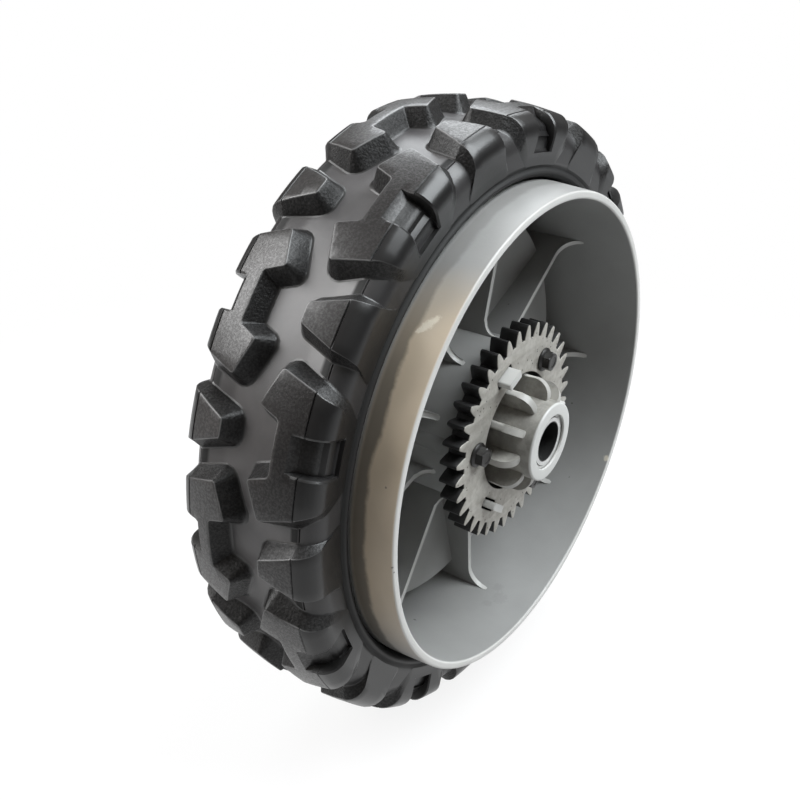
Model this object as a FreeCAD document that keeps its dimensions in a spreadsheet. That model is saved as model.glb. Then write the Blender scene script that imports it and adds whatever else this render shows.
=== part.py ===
import FreeCAD, Part
import math
import os

import Sketcher

# Lawn mower drive wheel, millimetres and degrees. The axle runs along Y, the origin is the centre of the
# tyre on the axle line, and the gear side faces -Y. Offsets are along Y from the middle of the tyre.
driving_sizes = {
    # tyre
    "tyre_radius": 125.0,
    "crown_drop": 2.3,
    "crown_bend_offset": 13.0,
    "crown_bend_drop": 0.7,
    "parting_offset": 22.4,
    "shoulder_bend_drop": 3.0,
    "shoulder_bend_offset": 26.9,
    "lug_side_offset": 28.6,
    "lug_shoulder_radius": 115.0,
    "lug_foot_radius": 106.5,
    "lug_foot_rise": 0.4,
    "lug_draft": 22.0,
    "lug_count": 9,
    "lug_corner_half": 28.4,
    "lug_corner_offset": 7.4,
    "lug_tip_half": 10.3,
    "lug_tip_offset": 0.2,
    "notch_half": 6.9,
    "notch_offset": 9.0,
    "lug_parting_half": 23.0,
    "lug_shoulder_half": 24.2,
    "lug_foot_half": 11.0,
    "wedge_tip_half": 5.3,
    "wedge_tip_offset": 5.7,
    "wedge_parting_half": 12.4,
    "wedge_shoulder_half": 7.4,
    "wedge_foot_half": 12.2,
    "slot_width": 12.6,
    "slot_offset": 17.2,
    "slot_ramp_offset": 20.0,
    "slot_ramp_radius": 119.9,
    "slot_bend_offset": 24.2,
    "slot_bend_radius": 117.6,
    "slot_wall_offset": 26.0,
    "slot_wall_radius": 113.0,
    "slot_foot_radius": 108.6,
    "groove_floor_radius": 117.4,
    "channel_floor_rise": 0.9,
    "floor_flat_half": 12.0,
    "floor_edge_offset": 21.0,
    "carcass_bend_radius": 115.5,
    "carcass_bend_offset": 25.6,
    "sidewall_radius": 110.0,
    "sidewall_offset": 27.4,
    "bead_ridge_radius": 101.5,
    "bead_ridge_offset": 27.9,
    "bead_groove_radius": 102.8,
    "bead_groove_depth": 1.0,
    "bead_offset": 27.2,
    "tyre_turn": 10.0,
    "seat_gap": 0.05,
    # rim
    "lip_offset": 43.7,
    "lip_radius": 97.0,
    "lip_chamfer": 0.5,
    "drum_wall": 3.2,
    "drum_draft_in": 0.9,
    "seat_radius": 98.0,
    "seat_rib_height": 3.0,
    "seat_rib_top_half": 5.0,
    "seat_rib_foot_half": 7.0,
    "rim_back_offset": 29.5,
    "flange_wall": 3.2,
    "web_radius": 84.0,
    "web_edge_offset": 2.9,
    "web_root_offset": 3.9,
    "web_wall": 3.2,
    "cup_wall": 3.0,
    "barrel_radius": 34.0,
    "barrel_wall": 3.5,
    "rib_count": 9,
    "rib_turn": 15.4,
    "rib_wall": 2.4,
    "rib_edge_offset": 11.7,
    "rib_root_round": 6.0,
    "rib_drum_round": 9.0,
    # hub
    "hub_radius": 16.1,
    "hub_end_offset": 49.8,
    "hub_chamfer": 0.6,
    "hub_lip": 1.0,
    "hub_lip_hole_radius": 11.3,
    "hub_back_radius": 17.5,
    "hub_back_offset": 22.0,
    "carrier_wall": 3.0,
    "fin_count": 10,
    "fin_turn": -22.0,
    "fin_wall": 3.0,
    "fin_radius": 23.6,
    "fin_end_offset": 45.5,
    "fin_round": 6.5,
    "peg_count": 3,
    "peg_turn": -22.0,
    "peg_radius": 31.5,
    "peg_width": 9.0,
    "peg_wall": 3.0,
    "peg_height": 4.8,
    "boss_radius": 4.6,
    "boss_length": 19.0,
    "pilot_depth": 16.0,
    "thread_gap": 0.05,
    # drive gear
    "gear_teeth": 36,
    "gear_turn": 1.7,
    "gear_seat_offset": 26.7,
    "gear_thickness": 7.8,
    "gear_tip_radius": 44.6,
    "tooth_depth": 5.6,
    "gap_tip_half": 3.25,
    "gap_pitch_half": 2.1,
    "gap_root_half": 1.1,
    "gear_hole_radius": 24.6,
    "peg_slot_gap": 0.9,
    "screw_hole_gap": 0.35,
    # screws
    "screw_count": 3,
    "screw_turn": 38.0,
    "screw_circle_radius": 30.7,
    "screw_flange_radius": 4.9,
    "screw_flange_wall": 1.4,
    "screw_hex_width": 7.0,
    "screw_head_height": 4.4,
    "screw_shank_radius": 2.4,
    "screw_length": 22.0,
    # bearings
    "axle_radius": 8.0,
    "bearing_radius": 14.0,
    "bearing_width": 7.0,
    "bearing_fit": 0.02,
    "ball_count": 12,
    "ball_radius": 1.8,
    "ball_path_radius": 11.0,
    "race_gap": 0.05,
    "inner_shoulder_radius": 9.9,
    "outer_shoulder_radius": 12.1,
    "seal_wall": 0.6,
    "seal_set_back": 0.3,
    "seal_seat_depth": 0.5,
    "seal_lip_gap": 0.3,
    "cage_width": 4.6,
    "cage_wall": 1.2,
    "cage_gap": 0.15,
    "spacer_wall": 1.9,
}

doc = FreeCAD.newDocument("lawn_mower_wheel")
sheet = doc.addObject("Spreadsheet::Sheet", "Sizes")


class Size:
    """A number with the sheet expression it comes from, so that both stay together."""

    def __init__(self, value, text):
        self.value = value
        self.text = text

    def __add__(self, other):
        other = as_size(other)
        return Size(self.value + other.value, f"({self.text} + {other.text})")

    def __sub__(self, other):
        other = as_size(other)
        return Size(self.value - other.value, f"({self.text} - {other.text})")

    def __mul__(self, other):
        other = as_size(other)
        return Size(self.value * other.value, f"({self.text} * {other.text})")

    def __truediv__(self, other):
        other = as_size(other)
        return Size(self.value / other.value, f"({self.text} / {other.text})")

    def __neg__(self):
        return Size(-self.value, f"(-1 * {self.text})")


def as_size(number):
    if isinstance(number, Size):
        return number
    return Size(number, repr(number))


def sine(angle):
    return Size(math.sin(math.radians(angle.value)), f"sin({angle.text} * 1deg)")


def cosine(angle):
    return Size(math.cos(math.radians(angle.value)), f"cos({angle.text} * 1deg)")


class SheetSizes:
    """The driving sizes, each a cell of the sheet with its own alias."""

    def __init__(self, cells):
        for row, (alias, number) in enumerate(cells.items(), start=1):
            sheet.set(f"A{row}", alias)
            sheet.set(f"B{row}", str(number))
            sheet.setAlias(f"B{row}", alias)
            setattr(self, alias, Size(float(number), f"Sizes.{alias}"))


s = SheetSizes(driving_sizes)
doc.recompute()
zero = Size(0.0, "0")


def bind(item, prop, size):
    item.setExpression(prop, size.text)


def new_body(label):
    body = doc.addObject("PartDesign::Body", label)
    body.Label = label
    return body


def origin_item(body, role):
    for item in body.Origin.OriginFeatures:
        if item.Role == role:
            return item
    raise ValueError(role)


def arc_centre(start, end, radius, side):
    """Centre of the arc of that radius between two points, to the left (side 1) or right (side -1)."""
    (x0, y0), (x1, y1) = start, end
    half = math.hypot(x1 - x0, y1 - y0) / 2
    rise = math.sqrt(max(radius * radius - half * half, 0.0))
    along_x = (x1 - x0) / (2 * half)
    along_y = (y1 - y0) / (2 * half)
    return ((x0 + x1) / 2 - side * rise * along_y, (y0 + y1) / 2 + side * rise * along_x)


def add_sketch(body, name, role, turn=None, lift=None):
    """A sketch on an origin plane, turned about the axle and lifted along the plane's normal."""
    sketch = body.newObject("Sketcher::SketchObject", name)
    sketch.AttachmentSupport = [(origin_item(body, role), "")]
    sketch.MapMode = "FlatFace"
    turns = {"XY_Plane": (FreeCAD.Vector(0, 1, 0), 1), "XZ_Plane": (FreeCAD.Vector(0, 0, 1), -1),
             "YZ_Plane": (FreeCAD.Vector(1, 0, 0), 1)}
    axis, sign = turns[role]
    angle = (turn or zero) * sign
    height = lift or zero
    base = {"x": zero, "y": zero, "z": height}
    if role == "XY_Plane" and turn is not None:
        base["x"] = height * sine(turn)
        base["z"] = height * cosine(turn)
    place = FreeCAD.Vector(base["x"].value, base["y"].value, base["z"].value)
    sketch.AttachmentOffset = FreeCAD.Placement(place, FreeCAD.Rotation(axis, angle.value))
    if lift is not None:
        bind(sketch, "AttachmentOffset.Base.z", base["z"])
        if base["x"] is not zero:
            bind(sketch, "AttachmentOffset.Base.x", base["x"])
    if turn is not None:
        bind(sketch, "AttachmentOffset.Rotation.Angle", angle)
    return sketch


def fix_point(sketch, edge, end, corner):
    """Ties a point of the sketch to its two coordinates."""
    for kind, axis, size in (("DistanceX", -2, corner[0]), ("DistanceY", -1, corner[1])):
        size = as_size(size)
        if size.text == "0":
            sketch.addConstraint(Sketcher.Constraint("PointOnObject", edge, end, axis))
            continue
        index = sketch.addConstraint(Sketcher.Constraint(kind, -1, 1, edge, end, size.value))
        sketch.setExpression(f"Constraints[{index}]", size.text)


def outline(body, name, role, corners, turn=None, lift=None):
    """A closed outline. A corner is (x, y), or (x, y, radius, side) where an arc leaves it."""
    sketch = add_sketch(body, name, role, turn, lift)
    points = [(as_size(c[0]).value, as_size(c[1]).value) for c in corners]
    ends = []
    for index, corner in enumerate(corners):
        start = points[index]
        end = points[(index + 1) % len(corners)]
        if len(corner) == 2:
            line = Part.LineSegment(FreeCAD.Vector(*start, 0), FreeCAD.Vector(*end, 0))
            sketch.addGeometry(line, False)
            ends.append((1, 2))
            continue
        radius, side = corner[2], corner[3]
        centre = arc_centre(start, end, radius.value, side)
        circle = Part.Circle(FreeCAD.Vector(*centre, 0), FreeCAD.Vector(0, 0, 1), radius.value)
        begin = math.atan2(start[1] - centre[1], start[0] - centre[0])
        stop = math.atan2(end[1] - centre[1], end[0] - centre[0])
        if side < 0:
            begin, stop = stop, begin
        if stop < begin:
            stop += 2 * math.pi
        sketch.addGeometry(Part.ArcOfCircle(circle, begin, stop), False)
        ends.append((1, 2) if side > 0 else (2, 1))
    for index, corner in enumerate(corners):
        after = (index + 1) % len(corners)
        sketch.addConstraint(Sketcher.Constraint("Coincident", index, ends[index][1], after, ends[after][0]))
        fix_point(sketch, index, ends[index][0], corner)
        if len(corner) == 4:
            spot = sketch.addConstraint(Sketcher.Constraint("Radius", index, corner[2].value))
            sketch.setExpression(f"Constraints[{spot}]", corner[2].text)
    return sketch


def ring_sketch(body, name, role, centre, radius, turn=None, lift=None):
    """One circle, its centre on the sketch's own upright axis."""
    sketch = add_sketch(body, name, role, turn, lift)
    spot = FreeCAD.Vector(0, centre.value, 0)
    sketch.addGeometry(Part.Circle(spot, FreeCAD.Vector(0, 0, 1), radius.value), False)
    fix_point(sketch, 0, 3, (zero, centre))
    index = sketch.addConstraint(Sketcher.Constraint("Radius", 0, radius.value))
    sketch.setExpression(f"Constraints[{index}]", radius.text)
    return sketch


def lathe(body, name, profile, kind="PartDesign::Revolution"):
    """A profile turned once round the axle line."""
    feature = body.newObject(kind, name)
    feature.Profile = profile
    feature.ReferenceAxis = (profile, ["V_Axis"])
    feature.Angle = 360
    doc.recompute()
    return feature


def extrude(body, name, profile, length, kind="PartDesign::Pad", middle=False, back=False, draft=None):
    feature = body.newObject(kind, name)
    feature.Profile = profile
    feature.Length = length.value
    bind(feature, "Length", length)
    feature.Midplane = middle
    feature.Reversed = back
    if draft is not None:
        feature.TaperAngle = draft.value
        bind(feature, "TaperAngle", draft)
    doc.recompute()
    return feature


def repeat(body, name, features, count):
    """Copies of the features, evenly spaced round the axle line."""
    pattern = body.newObject("PartDesign::PolarPattern", name)
    pattern.Originals = features
    pattern.Axis = (origin_item(body, "Y_Axis"), [""])
    pattern.Angle = 360
    pattern.Occurrences = int(count.value)
    bind(pattern, "Occurrences", count)
    body.Tip = pattern
    doc.recompute()
    return pattern


def mirrored(corners):
    """Half of a symmetrical outline, given from its left end, with the other half added."""
    return corners + [(-as_size(x), y) for x, y in reversed(corners)]


def flipped(corners, side):
    """The outline on the inboard (-1) or outboard (1) side of the tyre's middle."""
    return [(x, as_size(y) * side) for x, y in corners]


def build_tyre():
    body = new_body("tyre")
    bore = s.seat_radius + s.seat_gap
    groove_top = bore + s.seat_rib_height
    ridge = s.bead_groove_radius + (s.bead_groove_radius - s.bead_ridge_radius)
    floor_edge = s.groove_floor_radius + s.channel_floor_rise
    half = [
        (bore, s.bead_offset),
        (s.bead_ridge_radius, s.bead_ridge_offset),
        (s.bead_groove_radius, s.bead_ridge_offset - s.bead_groove_depth),
        (ridge, s.sidewall_offset),
        (s.sidewall_radius, s.sidewall_offset),
        (s.carcass_bend_radius, s.carcass_bend_offset),
        (floor_edge, s.floor_edge_offset),
        (s.groove_floor_radius, s.floor_flat_half),
    ]
    other = [(r, -y) for r, y in reversed(half)]
    seat_groove = [
        (bore, -s.seat_rib_foot_half - s.seat_gap),
        (groove_top, -s.seat_rib_top_half - s.seat_gap),
        (groove_top, s.seat_rib_top_half + s.seat_gap),
        (bore, s.seat_rib_foot_half + s.seat_gap),
    ]
    lathe(body, "Carcass", outline(body, "CarcassSection", "XY_Plane", half + other + seat_groove))

    top = s.tyre_radius + 0.5
    foot_level = s.groove_floor_radius - 1.5
    lug_edge = s.parting_offset + 2.0
    side_depth = s.lug_side_offset - s.parting_offset + 1.0
    big_lug = mirrored([
        (-s.lug_parting_half, -lug_edge),
        (-s.lug_corner_half, -s.lug_corner_offset),
        (-s.lug_tip_half, -s.lug_tip_offset),
        (-s.notch_half, -s.notch_offset),
    ])
    wedge_lug = mirrored([
        (-s.wedge_parting_half, -lug_edge),
        (-s.wedge_tip_half, -s.wedge_tip_offset),
    ])
    half_pitch = Size(180.0, "180") / s.lug_count
    lugs = []
    for side, word in ((1, "Inboard"), (-1, "Outboard")):
        big_turn = zero if side > 0 else half_pitch
        wedge_turn = half_pitch if side > 0 else zero
        kinds = (("Lug", big_lug, s.lug_shoulder_half, s.lug_foot_half, big_turn),
                 ("Wedge", wedge_lug, s.wedge_shoulder_half, s.wedge_foot_half, wedge_turn))
        for kind, corners, shoulder, foot, turn in kinds:
            name = word + kind
            tread = outline(body, name + "Tread", "XY_Plane", flipped(corners, side), turn, foot_level)
            lugs.append(extrude(body, name, tread, top - foot_level, draft=-s.lug_draft))
            wall = mirrored([(-shoulder, top), (-foot, s.lug_foot_radius)])
            face = outline(body, name + "Face", "XZ_Plane", wall, turn, s.parting_offset * side)
            lugs.append(extrude(body, name + "Side", face, side_depth, back=side < 0))
    repeat(body, "Lugs", lugs, s.lug_count)

    slots = []
    for side, word in ((-1, "Inboard"), (1, "Outboard")):
        turn = zero if side < 0 else half_pitch
        reach = s.lug_side_offset + 5.0
        cut = [
            (s.slot_offset * side, s.tyre_radius),
            (s.slot_ramp_offset * side, s.slot_ramp_radius),
            (s.slot_bend_offset * side, s.slot_bend_radius),
            (s.slot_wall_offset * side, s.slot_wall_radius),
            (s.slot_wall_offset * side, s.slot_foot_radius),
            (reach * side, s.slot_foot_radius),
            (reach * side, s.tyre_radius),
        ]
        notch = outline(body, word + "SlotCut", "YZ_Plane", cut, turn)
        slots.append(extrude(body, word + "Slot", notch, s.slot_width, "PartDesign::Pocket", middle=True))
    repeat(body, "Slots", slots, s.lug_count)

    crown_edge = s.tyre_radius - s.crown_drop
    outside = s.tyre_radius + 15.0
    beyond = s.lug_side_offset + 10.0
    lug_top = [
        (s.tyre_radius - s.crown_bend_drop, s.crown_bend_offset),
        (crown_edge, s.parting_offset),
        (crown_edge - s.shoulder_bend_drop, s.shoulder_bend_offset),
        (s.lug_shoulder_radius, s.lug_side_offset),
        (s.lug_foot_radius, s.sidewall_offset + s.lug_foot_rise),
        (s.lug_foot_radius, beyond),
        (outside, beyond),
    ]
    trim = [(s.tyre_radius, zero)] + lug_top + [(r, -y) for r, y in reversed(lug_top)]
    lathe(body, "Crown", outline(body, "CrownTrim", "XY_Plane", trim), "PartDesign::Groove")
    turned = FreeCAD.Rotation(FreeCAD.Vector(0, 1, 0), s.tyre_turn.value)
    body.Placement = FreeCAD.Placement(FreeCAD.Vector(), turned)
    bind(body, "Placement.Rotation.Angle", s.tyre_turn)
    doc.recompute()
    return body


def build_rim():
    body = new_body("wheel_rim")
    drum_inner = s.lip_radius - s.drum_wall
    drum_back = drum_inner - s.drum_draft_in
    rib_top = s.seat_radius + s.seat_rib_height
    cup_inner = s.web_radius - s.cup_wall
    barrel_inner = s.barrel_radius - s.barrel_wall
    hub_bore = s.bearing_radius + s.bearing_fit
    carrier_back = s.gear_seat_offset - s.carrier_wall
    flange_face = s.rim_back_offset - s.flange_wall
    section = [
        (s.lip_radius - s.lip_chamfer, -s.lip_offset),
        (s.lip_radius, -s.lip_offset + s.lip_chamfer),
        (s.seat_radius, -s.bead_offset),
        (s.seat_radius, -s.seat_rib_foot_half),
        (rib_top, -s.seat_rib_top_half),
        (rib_top, s.seat_rib_top_half),
        (s.seat_radius, s.seat_rib_foot_half),
        (s.seat_radius, s.rim_back_offset),
        (cup_inner, s.rim_back_offset),
        (cup_inner, s.web_wall - s.web_edge_offset),
        (barrel_inner, s.web_root_offset + s.web_wall),
        (barrel_inner, -carrier_back),
        (s.hub_back_radius, -carrier_back),
        (s.hub_back_radius, s.hub_back_offset),
        (hub_bore, s.hub_back_offset),
        (hub_bore, -s.hub_end_offset + s.hub_lip),
        (s.hub_lip_hole_radius, -s.hub_end_offset + s.hub_lip),
        (s.hub_lip_hole_radius, -s.hub_end_offset),
        (s.hub_radius - s.hub_chamfer, -s.hub_end_offset),
        (s.hub_radius, -s.hub_end_offset + s.hub_chamfer),
        (s.hub_radius, -s.gear_seat_offset),
        (s.barrel_radius, -s.gear_seat_offset),
        (s.barrel_radius, s.web_root_offset),
        (s.web_radius, -s.web_edge_offset),
        (s.web_radius, flange_face),
        (drum_back, flange_face),
        (drum_inner, -s.lip_offset + s.lip_chamfer),
        (drum_inner + s.lip_chamfer, -s.lip_offset),
    ]
    lathe(body, "Shell", outline(body, "ShellSection", "XY_Plane", section))

    drum_at_rib = drum_inner - s.drum_draft_in / 3
    wall_middle = s.lip_radius - s.drum_wall / 2
    cup_middle = s.web_radius - s.cup_wall / 2
    barrel_middle = s.barrel_radius - s.barrel_wall / 2
    root_rise = -s.rib_edge_offset - s.rib_root_round
    drum_rise = -s.rib_edge_offset - s.rib_drum_round
    rib = [
        (root_rise, s.barrel_radius, s.rib_root_round, 1),
        (-s.rib_edge_offset, s.barrel_radius + s.rib_root_round),
        (-s.rib_edge_offset, drum_at_rib - s.rib_drum_round, s.rib_drum_round, 1),
        (drum_rise, drum_at_rib),
        (drum_rise, wall_middle),
        (s.rim_back_offset - s.flange_wall / 2, wall_middle),
        (s.rim_back_offset - s.flange_wall / 2, cup_middle),
        (s.web_wall / 2 - s.web_edge_offset, cup_middle),
        (s.web_root_offset + s.web_wall / 2, barrel_middle),
        (root_rise, barrel_middle),
    ]
    rib_face = outline(body, "RibFace", "YZ_Plane", rib, s.rib_turn)
    ribs = extrude(body, "Rib", rib_face, s.rib_wall, middle=True)
    repeat(body, "Ribs", [ribs], s.rib_count)

    hub_middle = (s.hub_radius + hub_bore) / 2
    seat_middle = -s.gear_seat_offset + s.carrier_wall / 2
    fin = [
        (seat_middle, hub_middle),
        (seat_middle, s.fin_radius),
        (s.fin_round - s.fin_end_offset, s.fin_radius, s.fin_round, 1),
        (-s.fin_end_offset, s.fin_radius - s.fin_round),
        (-s.fin_end_offset, hub_middle),
    ]
    fin_face = outline(body, "FinFace", "YZ_Plane", fin, s.fin_turn)
    fins = extrude(body, "Fin", fin_face, s.fin_wall, middle=True)
    repeat(body, "Fins", [fins], s.fin_count)

    peg = mirrored([
        (-s.peg_width / 2, s.peg_radius - s.peg_wall / 2),
        (-s.peg_width / 2, s.peg_radius + s.peg_wall / 2),
    ])
    peg_foot = s.gear_seat_offset - s.carrier_wall / 2
    peg_length = s.carrier_wall / 2 + s.gear_thickness + s.peg_height
    peg_face = outline(body, "PegFace", "XZ_Plane", peg, s.peg_turn, peg_foot)
    pegs = extrude(body, "Peg", peg_face, peg_length)
    repeat(body, "Pegs", [pegs], s.peg_count)

    boss_foot = s.gear_seat_offset - s.boss_length
    boss_face = ring_sketch(body, "BossFace", "XZ_Plane", s.screw_circle_radius, s.boss_radius,
                            s.screw_turn, boss_foot)
    bosses = extrude(body, "Boss", boss_face, s.boss_length)
    repeat(body, "Bosses", [bosses], s.screw_count)
    pilot_face = ring_sketch(body, "PilotFace", "XZ_Plane", s.screw_circle_radius,
                             s.screw_shank_radius + s.thread_gap, s.screw_turn, s.gear_seat_offset)
    pilots = extrude(body, "Pilot", pilot_face, s.pilot_depth, "PartDesign::Pocket")
    repeat(body, "Pilots", [pilots], s.screw_count)
    return body


def build_gear():
    body = new_body("drive_gear")
    face = s.gear_seat_offset + s.gear_thickness
    blank = ring_sketch(body, "BlankFace", "XZ_Plane", zero, s.gear_tip_radius, None, s.gear_seat_offset)
    extrude(body, "Blank", blank, s.gear_thickness)
    hole = ring_sketch(body, "HoleFace", "XZ_Plane", zero, s.gear_hole_radius, None, face)
    extrude(body, "Hole", hole, s.gear_thickness, "PartDesign::Pocket")
    root = s.gear_tip_radius - s.tooth_depth
    pitch = s.gear_tip_radius - s.tooth_depth * 0.44
    gap = mirrored([
        (-s.gap_root_half, root),
        (-s.gap_pitch_half, pitch),
        (-s.gap_tip_half, s.gear_tip_radius + 0.2),
    ])
    gap_face = outline(body, "GapFace", "XZ_Plane", gap, s.gear_turn, face)
    gaps = extrude(body, "Gap", gap_face, s.gear_thickness, "PartDesign::Pocket")
    repeat(body, "Teeth", [gaps], s.gear_teeth)
    slot = mirrored([
        (-s.peg_width / 2 - s.peg_slot_gap, s.peg_radius - s.peg_wall / 2 - s.peg_slot_gap),
        (-s.peg_width / 2 - s.peg_slot_gap, s.peg_radius + s.peg_wall / 2 + s.peg_slot_gap),
    ])
    slot_face = outline(body, "PegSlotFace", "XZ_Plane", slot, s.peg_turn, face)
    slots = extrude(body, "PegSlot", slot_face, s.gear_thickness, "PartDesign::Pocket")
    repeat(body, "PegSlots", [slots], s.peg_count)
    screw_face = ring_sketch(body, "ScrewHoleFace", "XZ_Plane", s.screw_circle_radius,
                             s.screw_shank_radius + s.screw_hole_gap, s.screw_turn, face)
    holes = extrude(body, "ScrewHole", screw_face, s.gear_thickness, "PartDesign::Pocket")
    repeat(body, "ScrewHoles", [holes], s.screw_count)
    return body


def stand(item, turn, radius, offset):
    """Puts an upright primitive on a circle round the axle, pointing inboard."""
    item.Placement = FreeCAD.Placement(FreeCAD.Vector(), FreeCAD.Rotation(FreeCAD.Vector(1, 0, 0), 90))
    bind(item, "Placement.Base.x", radius * sine(turn))
    bind(item, "Placement.Base.y", -offset)
    bind(item, "Placement.Base.z", radius * cosine(turn))


def build_screws():
    face = s.gear_seat_offset + s.gear_thickness
    screws = []
    for number in range(driving_sizes["screw_count"]):
        turn = s.screw_turn + Size(360.0 * number, repr(360.0 * number)) / s.screw_count
        flange = doc.addObject("Part::Cone", f"ScrewFlange{number}")
        bind(flange, "Radius1", s.screw_flange_radius)
        bind(flange, "Radius2", s.screw_hex_width / 2)
        bind(flange, "Height", s.screw_flange_wall)
        stand(flange, turn, s.screw_circle_radius, face)
        head = doc.addObject("Part::Prism", f"ScrewHead{number}")
        head.Polygon = 6
        bind(head, "Circumradius", s.screw_hex_width / Size(math.sqrt(3), "sqrt(3)"))
        bind(head, "Height", s.screw_head_height)
        stand(head, turn, s.screw_circle_radius, face)
        shank = doc.addObject("Part::Cylinder", f"ScrewShank{number}")
        bind(shank, "Radius", s.screw_shank_radius)
        bind(shank, "Height", s.screw_length + s.screw_flange_wall / 2)
        stand(shank, turn, s.screw_circle_radius, face - s.screw_length)
        screw = doc.addObject("Part::MultiFuse", f"Screw{number}")
        screw.Shapes = [flange, head, shank]
        screws.append(screw)
    group = doc.addObject("Part::Compound", "gear_screws")
    group.Label = "gear_screws"
    group.Links = screws
    return group


def build_balls(label, middle):
    balls = []
    for number in range(driving_sizes["ball_count"]):
        turn = Size(360.0 * number, repr(360.0 * number)) / s.ball_count
        ball = doc.addObject("Part::Sphere", f"{label}_{number}")
        bind(ball, "Radius", s.ball_radius)
        stand(ball, turn, s.ball_path_radius, -middle)
        balls.append(ball)
    group = doc.addObject("Part::Compound", label)
    group.Label = label
    group.Links = balls
    return group


def build_bearing(word, middle):
    """One sealed ball bearing, the middle of its width at that offset."""
    half = s.bearing_width / 2
    race = s.ball_radius + s.race_gap
    seat_radius = s.outer_shoulder_radius + s.seal_seat_depth
    seal_face = half - s.seal_set_back
    seal_back = seal_face - s.seal_wall
    outer_dip = s.outer_shoulder_radius - s.ball_path_radius
    inner_dip = s.ball_path_radius - s.inner_shoulder_radius
    outer_reach = race_reach(race, outer_dip)
    inner_reach = race_reach(race, inner_dip)

    outer = new_body(f"{word}_bearing_outer_ring")
    section = [
        (s.bearing_radius, middle - half),
        (s.bearing_radius, middle + half),
        (seat_radius, middle + half),
        (seat_radius, middle + seal_back),
        (s.outer_shoulder_radius, middle + seal_back),
        (s.outer_shoulder_radius, middle + outer_reach, race, -1),
        (s.outer_shoulder_radius, middle - outer_reach),
        (s.outer_shoulder_radius, middle - seal_back),
        (seat_radius, middle - seal_back),
        (seat_radius, middle - half),
    ]
    lathe(outer, "Ring", outline(outer, "RingSection", "XY_Plane", section))

    inner = new_body(f"{word}_bearing_inner_ring")
    section = [
        (s.axle_radius, middle - half),
        (s.inner_shoulder_radius, middle - half),
        (s.inner_shoulder_radius, middle - inner_reach, race, -1),
        (s.inner_shoulder_radius, middle + inner_reach),
        (s.inner_shoulder_radius, middle + half),
        (s.axle_radius, middle + half),
    ]
    lathe(inner, "Ring", outline(inner, "RingSection", "XY_Plane", section))

    cage = new_body(f"{word}_bearing_cage")
    low = s.ball_path_radius - s.cage_wall / 2
    high = s.ball_path_radius + s.cage_wall / 2
    section = [
        (low, middle - s.cage_width / 2),
        (high, middle - s.cage_width / 2),
        (high, middle + s.cage_width / 2),
        (low, middle + s.cage_width / 2),
    ]
    lathe(cage, "Ring", outline(cage, "RingSection", "XY_Plane", section))
    pocket_face = ring_sketch(cage, "PocketFace", "XY_Plane", middle, s.ball_radius + s.cage_gap,
                              None, s.bearing_radius)
    pocket = extrude(cage, "Pocket", pocket_face, s.bearing_radius, "PartDesign::Pocket")
    repeat(cage, "Pockets", [pocket], s.ball_count)

    lip = s.inner_shoulder_radius + s.seal_lip_gap
    pieces = [outer, inner, cage, build_balls(f"{word}_bearing_balls", middle)]
    outward = -1 if middle.value < 0 else 1
    for name, way in (("outer", outward), ("inner", -outward)):
        seal = new_body(f"{word}_bearing_{name}_seal")
        section = [
            (lip, middle + seal_back * way),
            (seat_radius, middle + seal_back * way),
            (seat_radius, middle + seal_face * way),
            (lip, middle + seal_face * way),
        ]
        lathe(seal, "Disc", outline(seal, "DiscSection", "XY_Plane", section))
        pieces.append(seal)
    return pieces


def race_reach(race, dip):
    """Half the width of a ball track where it breaks through its shoulder."""
    value = math.sqrt(race.value ** 2 - dip.value ** 2)
    return Size(value, f"sqrt({race.text} ^ 2 - {dip.text} ^ 2)")


def build_spacer(start, end):
    body = new_body("bearing_spacer")
    section = [
        (s.axle_radius, start),
        (s.axle_radius + s.spacer_wall, start),
        (s.axle_radius + s.spacer_wall, end),
        (s.axle_radius, end),
    ]
    lathe(body, "Sleeve", outline(body, "SleeveSection", "XY_Plane", section))
    return body


inboard_middle = s.hub_lip - s.hub_end_offset + s.bearing_width / 2
outboard_middle = s.hub_back_offset - s.bearing_width / 2
sub_parts = [build_tyre(), build_rim(), build_gear(), build_screws()]
sub_parts += build_bearing("inboard", inboard_middle)
sub_parts += build_bearing("outboard", outboard_middle)
sub_parts.append(build_spacer(inboard_middle + s.bearing_width / 2, outboard_middle - s.bearing_width / 2))
doc.recompute()

for item in doc.Objects:
    if "Invalid" in item.State or "Error" in item.State:
        raise RuntimeError(f"{item.Label} failed: {item.State}")
for sub_part in sub_parts:
    if sub_part.Shape.isNull() or not sub_part.Shape.isValid():
        raise RuntimeError(f"{sub_part.Label} has no valid shape")

os.makedirs("parts", exist_ok=True)
for sub_part in sub_parts:
    sub_part.Shape.exportStep(f"parts/{sub_part.Label}.step")
    solids = len(sub_part.Shape.Solids)
    print(f"{sub_part.Label}: {solids} solid(s), {sub_part.Shape.Volume:.0f} mm3")
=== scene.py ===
import math

import bmesh
import bpy
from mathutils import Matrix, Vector
from mathutils.geometry import intersect_line_line_2d


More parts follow.
